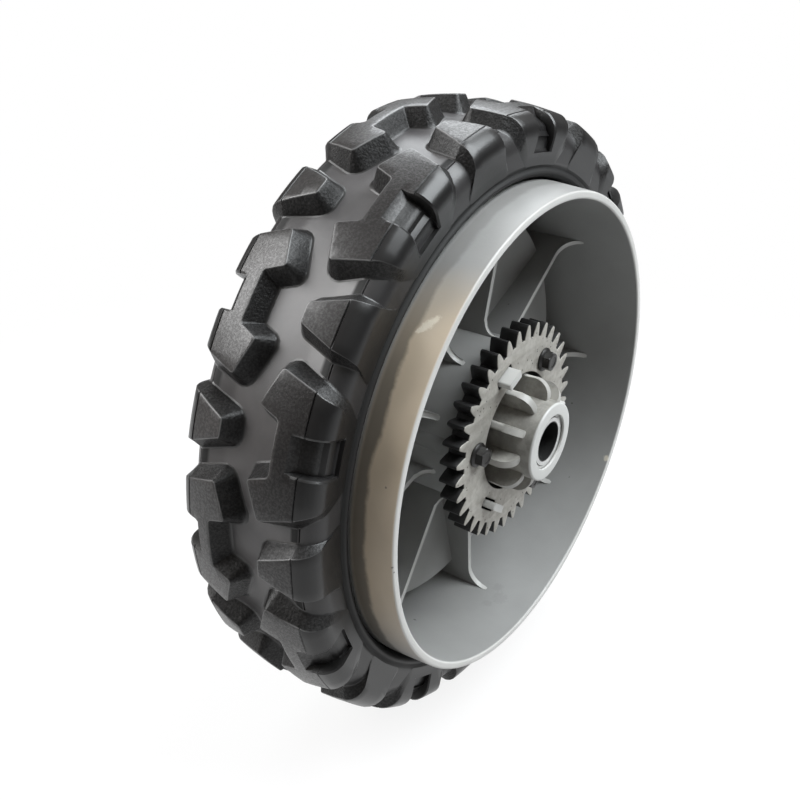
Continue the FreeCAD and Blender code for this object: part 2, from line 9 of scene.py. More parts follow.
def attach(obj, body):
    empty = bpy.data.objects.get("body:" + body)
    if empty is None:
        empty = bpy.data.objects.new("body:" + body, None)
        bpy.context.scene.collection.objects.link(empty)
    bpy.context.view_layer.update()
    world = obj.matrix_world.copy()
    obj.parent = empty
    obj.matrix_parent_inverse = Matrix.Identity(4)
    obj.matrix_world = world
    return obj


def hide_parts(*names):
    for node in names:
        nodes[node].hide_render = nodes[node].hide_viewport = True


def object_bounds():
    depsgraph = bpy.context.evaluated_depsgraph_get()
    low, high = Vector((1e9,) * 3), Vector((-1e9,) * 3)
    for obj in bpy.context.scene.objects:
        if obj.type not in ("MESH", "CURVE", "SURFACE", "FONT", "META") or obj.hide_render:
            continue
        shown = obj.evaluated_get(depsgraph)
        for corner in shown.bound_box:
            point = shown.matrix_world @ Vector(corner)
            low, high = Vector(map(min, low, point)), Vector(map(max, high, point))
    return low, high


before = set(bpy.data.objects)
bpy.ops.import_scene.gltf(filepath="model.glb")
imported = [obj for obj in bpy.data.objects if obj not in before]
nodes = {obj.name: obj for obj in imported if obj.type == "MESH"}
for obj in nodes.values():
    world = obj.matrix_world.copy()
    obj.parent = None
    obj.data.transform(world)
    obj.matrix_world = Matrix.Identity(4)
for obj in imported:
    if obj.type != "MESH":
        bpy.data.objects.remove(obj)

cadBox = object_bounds()
scene = bpy.context.scene
scene.view_settings.view_transform = "Standard"
mm = 0.001
print("frame loaded:", len(nodes), "nodes")


# node helpers

def setInputs(tree, node, inputs):
    # an input that is given a socket is linked to it, any other is set
    for key, value in inputs.items():
        if isinstance(value, bpy.types.NodeSocket):
            tree.links.new(value, node.inputs[key])
        else:
            node.inputs[key].default_value = value


def addNode(tree, kind, inputs=None, **settings):
    node = tree.nodes.new(kind)
    for key, value in settings.items():
        setattr(node, key, value)
    setInputs(tree, node, inputs or {})
    return node


def calc(tree, operation, a, b=0.5, c=0.5, clamp=False):
    node = addNode(tree, "ShaderNodeMath", {0: a, 1: b, 2: c}, operation=operation, use_clamp=clamp)
    return node.outputs[0]


def vectorCalc(tree, operation, a, b=None, output=0):
    inputs = {0: a} if b is None else {0: a, 1: b}
    return addNode(tree, "ShaderNodeVectorMath", inputs, operation=operation).outputs[output]


def axesOf(tree, vector):
    return addNode(tree, "ShaderNodeSeparateXYZ", {0: vector}).outputs


def radiusOf(tree, vector):
    # distance from the axle
    return vectorCalc(tree, "LENGTH", vectorCalc(tree, "MULTIPLY", vector, (1, 0, 1)), output="Value")


def mixColour(tree, factor, a, b, blend="MIX"):
    inputs = {0: factor, 6: a, 7: b}
    return addNode(tree, "ShaderNodeMix", inputs, data_type="RGBA", blend_type=blend).outputs[2]


def fade(tree, value, low, high, toLow=0.0, toHigh=1.0):
    inputs = {0: value, 1: low, 2: high, 3: toLow, 4: toHigh}
    return addNode(tree, "ShaderNodeMapRange", inputs, interpolation_type="SMOOTHSTEP").outputs[0]


def noise(tree, vector, scale, detail=3.0, roughness=0.55):
    inputs = {"Vector": vector, "Scale": scale, "Detail": detail, "Roughness": roughness}
    return addNode(tree, "ShaderNodeTexNoise", inputs).outputs[0]


def cells(tree, vector, scale):
    return addNode(tree, "ShaderNodeTexVoronoi", {"Vector": vector, "Scale": scale}).outputs


def attribute(tree, name):
    return addNode(tree, "ShaderNodeAttribute", attribute_name=name).outputs["Fac"]


def newGroup(name, vectors, values, outputs):
    # vectors and outputs are names, values are names with what they start at
    group = bpy.data.node_groups.new(name, "ShaderNodeTree")
    face = group.interface
    for label in vectors:
        face.new_socket(label, in_out="INPUT", socket_type="NodeSocketVector")
    for label, value in values.items():
        face.new_socket(label, in_out="INPUT", socket_type="NodeSocketFloat").default_value = value
    for label in outputs:
        face.new_socket(label, in_out="OUTPUT", socket_type="NodeSocketFloat")
    return group, group.nodes.new("NodeGroupInput").outputs, group.nodes.new("NodeGroupOutput")


def placeGroup(tree, group, inputs):
    return addNode(tree, "ShaderNodeGroup", inputs, node_tree=group).outputs


def newMaterial(name):
    material = bpy.data.materials.new(name)
    material.use_nodes = True
    tree = material.node_tree
    place = addNode(tree, "ShaderNodeTexCoord").outputs["Object"]
    return material, tree, tree.nodes["Principled BSDF"], place


def bump(tree, height, facts):
    inputs = {"Strength": facts["bump"], "Distance": facts["bumpDepth"], "Height": height}
    return addNode(tree, "ShaderNodeBump", inputs).outputs[0]


# camera, floor and light

cameraFacts = {
    "place": (-0.29961, -0.19151, 0.20117), "tilt": 60.81, "turn": -54.42,
    "lens": 43.905, "sensor": 36.0, "clip": 0.01,
}
floorFacts = {
    "half": 4.0, "drop": 0.0003, "roughness": 0.9, "bounce": 0.34, "seen": 0.9, "glow": 0.86,
    "mirrored": 0.7, "mirroredFar": 0.1, "whiteFrom": 0.16, "whiteAt": 0.5, "dimFrom": 0.25, "dimAt": 0.8,
}
worldFacts = {
    "seen": 1.0, "seenColour": (1, 1, 1, 1), "mirroredLow": 0.06, "mirroredHigh": 0.34, "overhead": 0.75,
    "fill": 0.15, "fillColour": (1, 0.95, 0.88, 1),
}
lampFacts = {
    "overFront": {"place": (0.34, -0.52, 0.92), "size": 0.8, "power": 21.5, "colour": (0.92, 0.97, 1)},
    "overLeft": {"place": (-0.52, 0.77, 0.68), "size": 0.78, "power": 14.5, "colour": (1, 1, 1)},
    "overBack": {"place": (0.64, 0.37, 0.74), "size": 0.62, "power": 6, "colour": (0.93, 0.97, 1)},
    "warmCard": {"place": (-0.62, 0.55, 0.06), "size": 0.4, "power": 0.4, "colour": (1, 0.93, 0.88)},
}

cameraData = bpy.data.cameras.new("photoCamera")
cameraData.sensor_width = cameraFacts["sensor"]
cameraData.lens = cameraFacts["lens"]
cameraData.clip_start = cameraFacts["clip"]
camera = bpy.data.objects.new("photoCamera", cameraData)
camera.location = cameraFacts["place"]
camera.rotation_euler = (math.radians(cameraFacts["tilt"]), 0, math.radians(cameraFacts["turn"]))
scene.collection.objects.link(camera)
scene.camera = camera


def seenDirectly(tree, ray):
    return calc(tree, "MAXIMUM", ray["Is Camera Ray"], ray["Is Transmission Ray"])


def paintWorld(tree):
    # white where it is seen, brighter overhead in reflections, and a weak warm fill for the rest
    f = worldFacts
    ray = addNode(tree, "ShaderNodeLightPath").outputs
    seen = seenDirectly(tree, ray)
    upward = axesOf(tree, addNode(tree, "ShaderNodeTexCoord").outputs["Generated"])["Z"]
    sky = fade(tree, upward, 0.0, f["overhead"], f["mirroredLow"], f["mirroredHigh"])
    mirrored = calc(tree, "MULTIPLY", ray["Is Glossy Ray"], sky)
    strength = calc(tree, "MAXIMUM", calc(tree, "MULTIPLY", seen, f["seen"]), mirrored)
    notGlossy = calc(tree, "SUBTRACT", 1.0, ray["Is Glossy Ray"])
    strength = calc(tree, "MAXIMUM", strength, calc(tree, "MULTIPLY", notGlossy, f["fill"]))
    colour = mixColour(tree, seen, f["fillColour"], f["seenColour"])
    setInputs(tree, tree.nodes["Background"], {"Color": colour, "Strength": strength})


def floorPaint():
    # pale where it is seen, darker for the light it throws back, and it keeps the shadow
    f = floorFacts
    material, tree, shader, place = newMaterial("floorPaint")
    ray = addNode(tree, "ShaderNodeLightPath").outputs
    seen = seenDirectly(tree, ray)
    paleness = calc(tree, "MULTIPLY_ADD", seen, f["seen"] - f["bounce"], f["bounce"])
    setInputs(tree, shader, {"Base Color": paleness, "Roughness": f["roughness"]})
    away = vectorCalc(tree, "LENGTH", place, output="Value")
    dimmed = fade(tree, away, f["dimFrom"], f["dimAt"], f["mirrored"], f["mirroredFar"])
    mirrored = calc(tree, "MULTIPLY", ray["Is Glossy Ray"], dimmed)
    whiteness = fade(tree, away, f["whiteFrom"], f["whiteAt"], f["glow"], 1.0)
    share = calc(tree, "MAXIMUM", calc(tree, "MULTIPLY", seen, whiteness), mirrored)
    glow = addNode(tree, "ShaderNodeEmission", {"Strength": 1.0}).outputs[0]
    both = addNode(tree, "ShaderNodeMixShader", {0: share, 1: shader.outputs[0], 2: glow}).outputs[0]
    setInputs(tree, tree.nodes["Material Output"], {"Surface": both})
    return material


world = bpy.data.worlds.new("paleRoom")
scene.world = world
world.use_nodes = True
paintWorld(world.node_tree)

floorMesh = bpy.data.meshes.new("floor")
half = floorFacts["half"]
floorLevel = cadBox[0][2] - floorFacts["drop"]
corners = [(x * half, y * half, floorLevel) for x, y in ((-1, -1), (1, -1), (1, 1), (-1, 1))]
floorMesh.from_pydata(corners, [], [(0, 1, 2, 3)])
floorMesh.materials.append(floorPaint())
floor = bpy.data.objects.new("floor", floorMesh)
scene.collection.objects.link(floor)

for name, facts in lampFacts.items():
    lampData = bpy.data.lights.new(name, "AREA")
    lampData.size = facts["size"]
    lampData.energy = facts["power"]
    lampData.color = facts["colour"]
    lamp = bpy.data.objects.new(name, lampData)
    lamp.location = facts["place"]
    lamp.rotation_euler = (-Vector(facts["place"])).to_track_quat("-Z", "Y").to_euler()
    lamp.visible_camera = False
    scene.collection.objects.link(lamp)
print("camera, floor and lamps placed")


# mesh helpers

def makeObject(name, mesh, material, smoothAngle=40.0):
    mesh.shade_smooth()
    mesh.set_sharp_from_angle(angle=math.radians(smoothAngle))
    mesh.materials.clear()
    mesh.materials.append(material)
    piece = bpy.data.objects.new(name, mesh)
    scene.collection.objects.link(piece)
    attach(piece, "wheel")
    return piece


def finishMesh(name, bm):
    bmesh.ops.recalc_face_normals(bm, faces=bm.faces)
    mesh = bpy.data.meshes.new(name)
    bm.to_mesh(mesh)
    bm.free()
    return mesh


def bridge(bm, one, two):
    # quads between two closed loops with the same number of points
    count = len(one)
    for index in range(count):
        after = (index + 1) % count
        bm.faces.new((one[index], one[after], two[after], two[index]))


def cornerArc(here, toBefore, toAfter, angle, reach, steps):
    # points round a corner, between the places at that reach on its two sides
    radius = reach * math.tan(angle / 2)
    centre = here + (toBefore + toAfter).normalized() * (radius / math.sin(angle / 2))
    start, end = here + toBefore * reach - centre, here + toAfter * reach - centre
    return [centre + start.lerp(end, step / steps).normalized() * radius for step in range(steps + 1)]


def roundedLine(corners, steps=4, share=0.48):
    # corners are (r, y, rounding), closed; each is swapped for an arc that takes no more of a side than share
    points = []
    count = len(corners)
    for index, (r, y, rounding) in enumerate(corners):
        here = Vector((r, y))
        before = Vector(corners[index - 1][:2]) - here
        after = Vector(corners[(index + 1) % count][:2]) - here
        if rounding <= 0:
            points.append(here)
            continue
        angle = before.angle(after)
        reach = min(rounding / math.tan(angle / 2), before.length * share, after.length * share)
        points += cornerArc(here, before.normalized(), after.normalized(), angle, reach, steps)
    return points


def onWheel(r, y, degrees):
    # radius, place along the axle and turn from upright, in millimetres and degrees
    turn = math.radians(degrees)
    return (r * math.sin(turn) * mm, y * mm, r * math.cos(turn) * mm)


def latheMesh(name, profile, segments):
    bm = bmesh.new()
    rings = []
    for step in range(segments):
        rings.append([bm.verts.new(onWheel(r, y, 360 * step / segments)) for r, y in profile])
    for one, two in zip(rings, rings[1:] + rings[:1]):
        bridge(bm, one, two)
    return finishMesh(name, bm)


def plateMesh(name, outline, facts, paleAll=False):
    # an outline of (y, r) on the plane through the axle and +Z, its narrow sides marked for pale wear and a
    # painted highlight
    halfThick = facts["thick"] / 2
    bm = bmesh.new()
    loops = []
    for side in (-1, 1):
        loops.append([bm.verts.new((side * halfThick * mm, y * mm, r * mm)) for y, r in outline])
    for loop in loops:
        bm.faces.new(loop)
    bridge(bm, *loops)
    rims = [bm.edges.get(pair) for loop in loops for pair in zip(loop, loop[1:] + loop[:1])]
    bmesh.ops.bevel(bm, geom=rims, offset=facts["edge"] * mm, segments=facts["edgeSteps"], profile=0.5,
                    affect="EDGES")
    wearAndHighlight = bm.verts.layers.float.new("edge")
    flatSide = (halfThick - 0.02) * mm  # nearer to the middle than this is off the flat sides
    for vert in bm.verts:
        vert[wearAndHighlight] = 1.0 if paleAll or abs(vert.co.x) < flatSide else 0.0
    return finishMesh(name, bm)


def ringStack(bm, rings):
    # closes a stack of equal rings into one solid
    loops = [[bm.verts.new(Vector(p) * mm) for p in ring] for ring in rings]
    for one, two in zip(loops, loops[1:]):
        bridge(bm, one, two)
    bm.faces.new(loops[0])
    bm.faces.new(list(reversed(loops[-1])))


def arcRun(centre, radius, fromDegrees, toDegrees, steps):
    points = []
    for step in range(steps + 1):
        a = math.radians(fromDegrees + (toDegrees - fromDegrees) * step / steps)
        points.append((centre[0] + radius * math.cos(a), centre[1] + radius * math.sin(a)))
    return points


def spokesOf(count):
    return [2 * math.pi * n / count for n in range(count)]


def postRing(facts, radius, y):
    # a ring round the middle of a screw or post that stands upright over the axle
    spokes = spokesOf(facts["sides"])
    return [(radius * math.cos(a), y, facts["circle"] + radius * math.sin(a)) for a in spokes]


def radialTree():
    tree = bpy.data.node_groups.new("copiesRoundAxle", "GeometryNodeTree")
    face = tree.interface
    kinds = {"Geometry": "Geometry", "Count": "Int", "Start Angle": "Float", "Finish": "Material"}
    for label, kind in kinds.items():
        face.new_socket(label, in_out="INPUT", socket_type="NodeSocket" + kind)
    face.new_socket("Geometry", in_out="OUTPUT", socket_type="NodeSocketGeometry")
    given = tree.nodes.new("NodeGroupInput").outputs
    points = addNode(tree, "GeometryNodePoints", {"Count": given["Count"]}).outputs[0]
    index = addNode(tree, "GeometryNodeInputIndex").outputs[0]
    pitch = calc(tree, "DIVIDE", 2 * math.pi, given["Count"])
    turn = calc(tree, "MULTIPLY_ADD", index, pitch, given["Start Angle"])
    spin = addNode(tree, "ShaderNodeCombineXYZ", {"Y": turn}).outputs[0]
    facing = addNode(tree, "FunctionNodeEulerToRotation", {0: spin}).outputs[0]
    inputs = {"Points": points, "Instance": given["Geometry"], "Rotation": facing}
    copies = addNode(tree, "GeometryNodeInstanceOnPoints", inputs).outputs[0]
    real = addNode(tree, "GeometryNodeRealizeInstances", {0: copies}).outputs[0]
    inputs = {"Geometry": real, "Material": given["Finish"]}
    painted = addNode(tree, "GeometryNodeSetMaterial", inputs).outputs[0]
    tree.links.new(painted, tree.nodes.new("NodeGroupOutput").inputs[0])
    return tree


copiesTree = radialTree()


def radialCopies(name, mesh, count, startDegrees, material):
    # repeats a mesh evenly round the axle and gives back one plain mesh
    source = bpy.data.objects.new(name + "Source", mesh)
    scene.collection.objects.link(source)
    modifier = source.modifiers.new("copies", "NODES")
    modifier.node_group = copiesTree
    items = copiesTree.interface.items_tree
    sockets = {item.name: item.identifier for item in items if item.in_out == "INPUT"}
    modifier[sockets["Count"]] = count
    modifier[sockets["Start Angle"]] = math.radians(startDegrees)
    modifier[sockets["Finish"]] = material
    evaluated = source.evaluated_get(bpy.context.evaluated_depsgraph_get())
    result = bpy.data.meshes.new_from_object(evaluated)
    result.name = name
    bpy.data.objects.remove(source)
    return result


# finishes

grainFacts = {"detail": 4.0, "fine": 0.7, "coarse": 0.6, "grit": -0.5, "speckle": (0.38, 0.66)}
markFacts = {"detail": 3.0, "roughness": 0.6, "ragged": 1.2, "edge": (1.5, 1.0)}
patchWide, patchCore = (0.25, 0.75), (0.3, 0.7)  # parts of the grain's patch noise that a finish spreads out


def grainGroup():
    f = grainFacts
    starts = {"Scale": 1500.0, "Patch Scale": 60.0}
    group, given, out = newGroup("mouldGrain", ["Vector"], starts, ["Height", "Speckle", "Patches"])
    fine = noise(group, given["Vector"], given["Scale"], f["detail"], f["fine"])
    grit = cells(group, given["Vector"], given["Scale"])["Distance"]
    height = calc(group, "MULTIPLY_ADD", grit, f["grit"], fine)
    speckle = fade(group, fine, *f["speckle"])
    patches = noise(group, given["Vector"], given["Patch Scale"], f["detail"], f["coarse"])
    setInputs(group, out, {"Height": height, "Speckle": speckle, "Patches": patches})
    return group


def spotGroup():
    # a soft-edged mark round one point, broken up by noise, and longer along a line where Shorten is over 0
    f = markFacts
    starts = {"Size": 0.003, "Shorten": 0.0, "Break Up": 600.0}
    group, given, out = newGroup("singleMark", ["Vector", "Centre", "Along"], starts, ["Mask"])
    away = vectorCalc(group, "SUBTRACT", given["Vector"], given["Centre"])
    lengthwise = vectorCalc(group, "DOT_PRODUCT", away, given["Along"], "Value")
    inputs = {0: given["Along"], "Scale": calc(group, "MULTIPLY", lengthwise, given["Shorten"])}
    taken = addNode(group, "ShaderNodeVectorMath", inputs, operation="SCALE").outputs[0]
    away = vectorCalc(group, "LENGTH", vectorCalc(group, "SUBTRACT", away, taken), output="Value")
    ratio = calc(group, "DIVIDE", away, given["Size"])
    broken = noise(group, given["Vector"], given["Break Up"], f["detail"], f["roughness"])
    ragged = calc(group, "MULTIPLY_ADD", broken, f["ragged"], ratio)
    setInputs(group, out, {"Mask": fade(group, ragged, *f["edge"])})
    return group


def scatterGroup():
    # small round spots in some of the cells, fewer where Bare is higher
    starts = {"Scale": 200.0, "Bare": 0.9, "Outer": 0.1, "Inner": 0.05}
    group, given, out = newGroup("scatteredSpots", ["Vector"], starts, ["Mask"])
    spots = cells(group, given["Vector"], given["Scale"])
    red = addNode(group, "ShaderNodeSeparateColor", {0: spots["Color"]}).outputs[0]
    some = calc(group, "GREATER_THAN", red, given["Bare"])
    dot = fade(group, spots["Distance"], given["Outer"], given["Inner"])
    setInputs(group, out, {"Mask": calc(group, "MULTIPLY", dot, some)})
    return group


mouldGrain = grainGroup()
singleMark = spotGroup()
scatteredSpots = scatterGroup()


def grainOf(tree, place, facts):
    inputs = {"Vector": place, "Scale": facts["grain"], "Patch Scale": facts["patches"]}
    return placeGroup(tree, mouldGrain, inputs)


lugFinishFacts = {
    "top": (0.0086, 0.0073, 0.0073, 1), "speck": (0.0125, 0.0110, 0.0110, 1),
    "flank": (0.009, 0.0085, 0.0085, 1), "flankSpeck": (0.024, 0.0232, 0.0232, 1),
    "foot": (0.0120, 0.0115, 0.0117, 1), "wearAndHighlight": (0.14, 0.138, 0.138, 1), "line": (0.002, 0.002, 0.002, 1),
    "grain": 1150.0, "patches": 55.0, "wearAndHighlightAt": (0.28, 0.55), "shade": (0.78, 1.22),
    "shine": 0.62, "topShine": 0.88, "flankShine": 0.55, "speckleShine": (-0.34, 0.18),
    "shineRoughness": 0.33, "specular": 0.15, "roughness": (0.24, 0.36), "patchRoughness": 0.12,
    "bump": 0.6, "bumpDepth": 0.0005, "footGrain": 0.08, "topGrain": 0.42, "flankGrain": 0.95,
}


def lugRubber():
    f = lugFinishFacts
    material, tree, shader, place = newMaterial("lugRubber")
    grain = grainOf(tree, place, f)
    top = attribute(tree, "top")
    flank = attribute(tree, "flank")
    body = mixColour(tree, top, f["foot"], mixColour(tree, grain["Speckle"], f["top"], f["speck"]))
    body = mixColour(tree, flank, body, mixColour(tree, grain["Speckle"], f["flank"], f["flankSpeck"]))
    # a satin skin on the tops, broken up by the speckle wherever the mould is grained
    shine = fade(tree, top, 0.0, 1.0, f["shine"], f["topShine"])
    shine = calc(tree, "MULTIPLY", shine, fade(tree, flank, 0.0, 1.0, 1.0, f["flankShine"]))
    grained = calc(tree, "MAXIMUM", top, flank)
    patchy = calc(tree, "MULTIPLY", fade(tree, grain["Speckle"], 0.0, 1.0, *f["speckleShine"]), grained)
    shine = calc(tree, "MULTIPLY_ADD", shine, patchy, shine)
    # pale rounded edges, slot lips and lug feet: partly wear, partly a painted highlight
    wearAndHighlightPatches = fade(tree, grain["Patches"], *f["wearAndHighlightAt"])
    wearAndHighlight = calc(tree, "MULTIPLY", attribute(tree, "edge"), wearAndHighlightPatches, clamp=True)
    body = mixColour(tree, wearAndHighlight, body, f["wearAndHighlight"])
    # painted shade in the parting-line groove and at the foot of the slot walls
    body = mixColour(tree, attribute(tree, "line"), body, f["line"])
    shade = fade(tree, grain["Patches"], *patchWide, *f["shade"])
    body = mixColour(tree, 1.0, body, shade, "MULTIPLY")
    rough = fade(tree, grained, 0.0, 1.0, *f["roughness"])
    rough = calc(tree, "MULTIPLY_ADD", grain["Patches"], f["patchRoughness"], rough)
    strength = calc(tree, "MULTIPLY_ADD", top, f["topGrain"], f["footGrain"])
    strength = calc(tree, "MULTIPLY_ADD", flank, f["flankGrain"], strength)
    height = calc(tree, "MULTIPLY", grain["Height"], strength)
    setInputs(tree, shader, {
        "Base Color": body, "Roughness": rough, "Normal": bump(tree, height, f), "Coat Weight": shine,
        "Coat Roughness": f["shineRoughness"], "Specular IOR Level": f["specular"],
    })
    return material


carcassFinishFacts = {
    "light": (0.034, 0.0324, 0.033, 1), "dark": (0.021, 0.02, 0.0203, 1), "line": (0.002, 0.002, 0.002, 1),
    "floorSheenLight": (0.092, 0.0885, 0.0895, 1), "floorSheenDark": (0.056, 0.0535, 0.0545, 1),
    "floorSheenAcross": (0.0255, 0.0195), "grain": 2200.0, "patches": 34.0, "roughness": (0.29, 0.39),
    "lineRoughness": 0.35, "bump": 0.06, "bumpDepth": 0.0003,
}


def carcassRubber():
    # plain side walls, and paler groove floors, a painted sheen
    f = carcassFinishFacts
    material, tree, shader, place = newMaterial("carcassRubber")
    grain = grainOf(tree, place, f)
    patches = fade(tree, grain["Patches"], *patchCore)
    # the groove floors are painted paler, a painted sheen
    floorSheen = fade(tree, calc(tree, "ABSOLUTE", axesOf(tree, place)["Y"]), *f["floorSheenAcross"])
    clean = mixColour(tree, patches, f["dark"], f["light"])
    body = mixColour(tree, floorSheen, clean, mixColour(tree, patches, f["floorSheenDark"], f["floorSheenLight"]))
    # painted shade in the parting groove, in a strip beside it and down the bead by the rim
    line = attribute(tree, "line")
    body = mixColour(tree, line, body, f["line"])
    rough = fade(tree, grain["Patches"], *patchCore, *f["roughness"])
    rough = calc(tree, "MULTIPLY_ADD", line, f["lineRoughness"], rough)
    normal = bump(tree, grain["Height"], f)
    setInputs(tree, shader, {"Base Color": body, "Roughness": rough, "Normal": normal})
    return material


rimFinishFacts = {
    "body": (0.287, 0.2862, 0.280, 1), "outer": (0.315, 0.313, 0.306, 1), "soilAndReflection": (0.57, 0.475, 0.36, 1),
    "lip": (0.62, 0.61, 0.59, 1), "hub": (0.35, 0.338, 0.31, 1), "hubEnd": (0.60, 0.597, 0.58, 1),
    "wearAndHighlight": (0.58, 0.575, 0.555, 1), "grimeAndShade": (0.07, 0.066, 0.06, 1), "scuff": (0.74, 0.68, 0.57, 1),
    "grain": 900.0, "patches": 18.0, "shade": (0.9, 1.07), "edgeWearAndHighlight": (0.85, 0.4),
    "soilAndReflectionDrift": 0.03, "seamDrift": 0.010, "seamNoise": (60.0, 5.0, 0.72), "seamRagged": 0.004,
    "seamStrength": (0.3, 0.78), "hubNoise": (130.0, 4.0, 0.65), "hubGrime": (0.62, 0.40, 0.0, 0.35),
    "specks": {"Scale": 160.0, "Bare": 0.93, "Outer": 0.09, "Inner": 0.05}, "speckStrength": 0.7,
    "roughness": 0.32, "patchRoughness": 0.16, "bump": 0.08, "bumpDepth": 0.0003,
}
# where each colour starts and where it is full, in metres in the wheel's own frame
rimZones = {
    "outerRadius": (0.0958, 0.0966), "outerAcross": (-0.026, -0.0285), "soilAndReflectionSide": (-0.030, -0.058),
    "soilAndReflectionUp": (-0.070, -0.012), "seamAcross": (-0.0268, -0.0245), "seamUp": (0.100, 0.05),
    "lipRadius": (0.0905, 0.092), "lipAcross": (-0.0430, -0.0436), "hubRadius": (0.0265, 0.0250),
    "hubAcross": (-0.0255, -0.0272), "endAcross": (-0.0486, -0.0493),
}
streakLine = (0.58, -0.61, 0.54)
rimMarks = [
    {"colour": "scuff", "strength": 0.8, "shorten": 0.5, "breakUp": 900.0,  # pale streak on the outer band
     "spots": [((-0.0662, -0.0354, 0.0716), 0.0021), ((-0.0645, -0.0369, 0.0732), 0.0015),
               ((-0.0678, -0.0339, 0.0701), 0.0013)]},
    {"colour": "scuff", "strength": 0.75, "shorten": 0.0, "breakUp": 600.0,  # scuff by the lip
     "spots": [((0.0784, -0.0423, -0.0509), 0.002)]},
    {"colour": "grimeAndShade", "strength": 0.75, "shorten": 0.0, "breakUp": 600.0,  # dark spots: two nicks on the lip, painted as their shade, and two spots of dirt in the drum
     "spots": [((-0.0971, -0.0434, -0.0018), 0.0008), ((-0.0962, -0.0437, -0.0040), 0.0006),
               ((0.0694, -0.0283, -0.0623), 0.0008), ((-0.0348, -0.0099, -0.0867), 0.0010)]},
    {"colour": "grimeAndShade", "strength": 0.12, "shorten": 0.0, "breakUp": 600.0,  # smudges low in the drum
     "spots": [((0.0057, -0.0288, -0.0932), 0.0050), ((0.0112, -0.0246, -0.0927), 0.0034),
               ((-0.0006, -0.0259, -0.0934), 0.0030)]},
]


def rimPlastic():
    f = rimFinishFacts
    material, tree, shader, place = newMaterial("rimPlastic")
    grain = grainOf(tree, place, f)
    side, across, up = axesOf(tree, place)
    radial = radiusOf(tree, place)

    def zone(value, name, low=0.0, high=1.0):
        return fade(tree, value, *rimZones[name], low, high)

    # tan on the outer band, towards -X and higher up, partly soil and partly a painted reflection; and a
    # ragged dark band along the seam with the tyre, partly grime and partly painted shade
    outer = calc(tree, "MULTIPLY", zone(radial, "outerRadius"), zone(across, "outerAcross"))
    # the tan is partly soil and partly a painted reflection
    drift = calc(tree, "MULTIPLY_ADD", grain["Patches"], f["soilAndReflectionDrift"], side)
    soilAndReflectionMask = calc(tree, "MULTIPLY", zone(drift, "soilAndReflectionSide"), zone(up, "soilAndReflectionUp"))
    body = mixColour(tree, outer, f["body"], mixColour(tree, soilAndReflectionMask, f["outer"], f["soilAndReflection"]))
    ragged = calc(tree, "MULTIPLY_ADD", grain["Patches"], f["seamDrift"], across)
    ragged = calc(tree, "MULTIPLY_ADD", noise(tree, place, *f["seamNoise"]), f["seamRagged"], ragged)
    # the dark band by the tyre is partly grime and partly painted shade, weaker near the top
    seamGrimeAndShade = calc(tree, "MULTIPLY", outer, zone(ragged, "seamAcross"))
    seamGrimeAndShade = calc(tree, "MULTIPLY", seamGrimeAndShade, zone(up, "seamUp", *f["seamStrength"]))
    body = mixColour(tree, seamGrimeAndShade, body, f["grimeAndShade"])
    # pale lip, partly a painted highlight; grimy hub with a pale end face, a painted reflection; and pale
    # edges, partly wear and partly a painted highlight
    lip = calc(tree, "MULTIPLY", zone(radial, "lipRadius"), zone(across, "lipAcross"))
    body = mixColour(tree, lip, body, f["lip"])
    hub = calc(tree, "MULTIPLY", zone(radial, "hubRadius"), zone(across, "hubAcross"))
    smudged = fade(tree, noise(tree, place, *f["hubNoise"]), *f["hubGrime"])
    body = mixColour(tree, hub, body, mixColour(tree, smudged, f["hub"], f["grimeAndShade"]))
    body = mixColour(tree, zone(across, "endAcross"), body, f["hubEnd"])
    paleEdge = calc(tree, "MULTIPLY", attribute(tree, "edge"), fade(tree, hub, 0.0, 1.0, *f["edgeWearAndHighlight"]))
    body = mixColour(tree, paleEdge, body, f["wearAndHighlight"])
    shade = fade(tree, grain["Patches"], *patchWide, *f["shade"])
    body = mixColour(tree, 1.0, body, shade, "MULTIPLY")
    for marks in rimMarks:
        for centre, size in marks["spots"]:
            inputs = {"Vector": place, "Centre": centre, "Size": size, "Along": streakLine,
                      "Shorten": marks["shorten"], "Break Up": marks["breakUp"]}
            mask = placeGroup(tree, singleMark, inputs)["Mask"]
            body = mixColour(tree, calc(tree, "MULTIPLY", mask, marks["strength"]), body, f[marks["colour"]])
    specks = placeGroup(tree, scatteredSpots, {"Vector": place, **f["specks"]})["Mask"]
    body = mixColour(tree, calc(tree, "MULTIPLY", specks, f["speckStrength"]), body, f["grimeAndShade"])
    rough = calc(tree, "MULTIPLY_ADD", grain["Patches"], f["patchRoughness"], f["roughness"])
    normal = bump(tree, grain["Height"], f)
    setInputs(tree, shader, {"Base Color": body, "Roughness": rough, "Normal": normal})
    return material


gearFinishFacts = {
    "dark": (0.365, 0.348, 0.315, 1), "light": (0.44, 0.424, 0.39, 1), "pit": (0.06, 0.055, 0.05, 1),
    "oxide": (0.010, 0.0095, 0.0095, 1), "face": (-0.0341, -0.0343), "metallic": 0.3,
    "roughness": (0.52, 0.42), "grain": 1400.0, "patches": 420.0, "mottle": (0.32, 0.68), "fineHeight": 0.25,
    "pits": {"Scale": 520.0, "Outer": 0.27, "Inner": 0.14}, "pitStrength": 0.8, "pitHeight": -1.0,
    "crowdNoise": (55.0, 2.0), "crowd": (0.38, 0.60, 0.90, 0.5), "bump": 0.35, "bumpDepth": 0.0003,
}


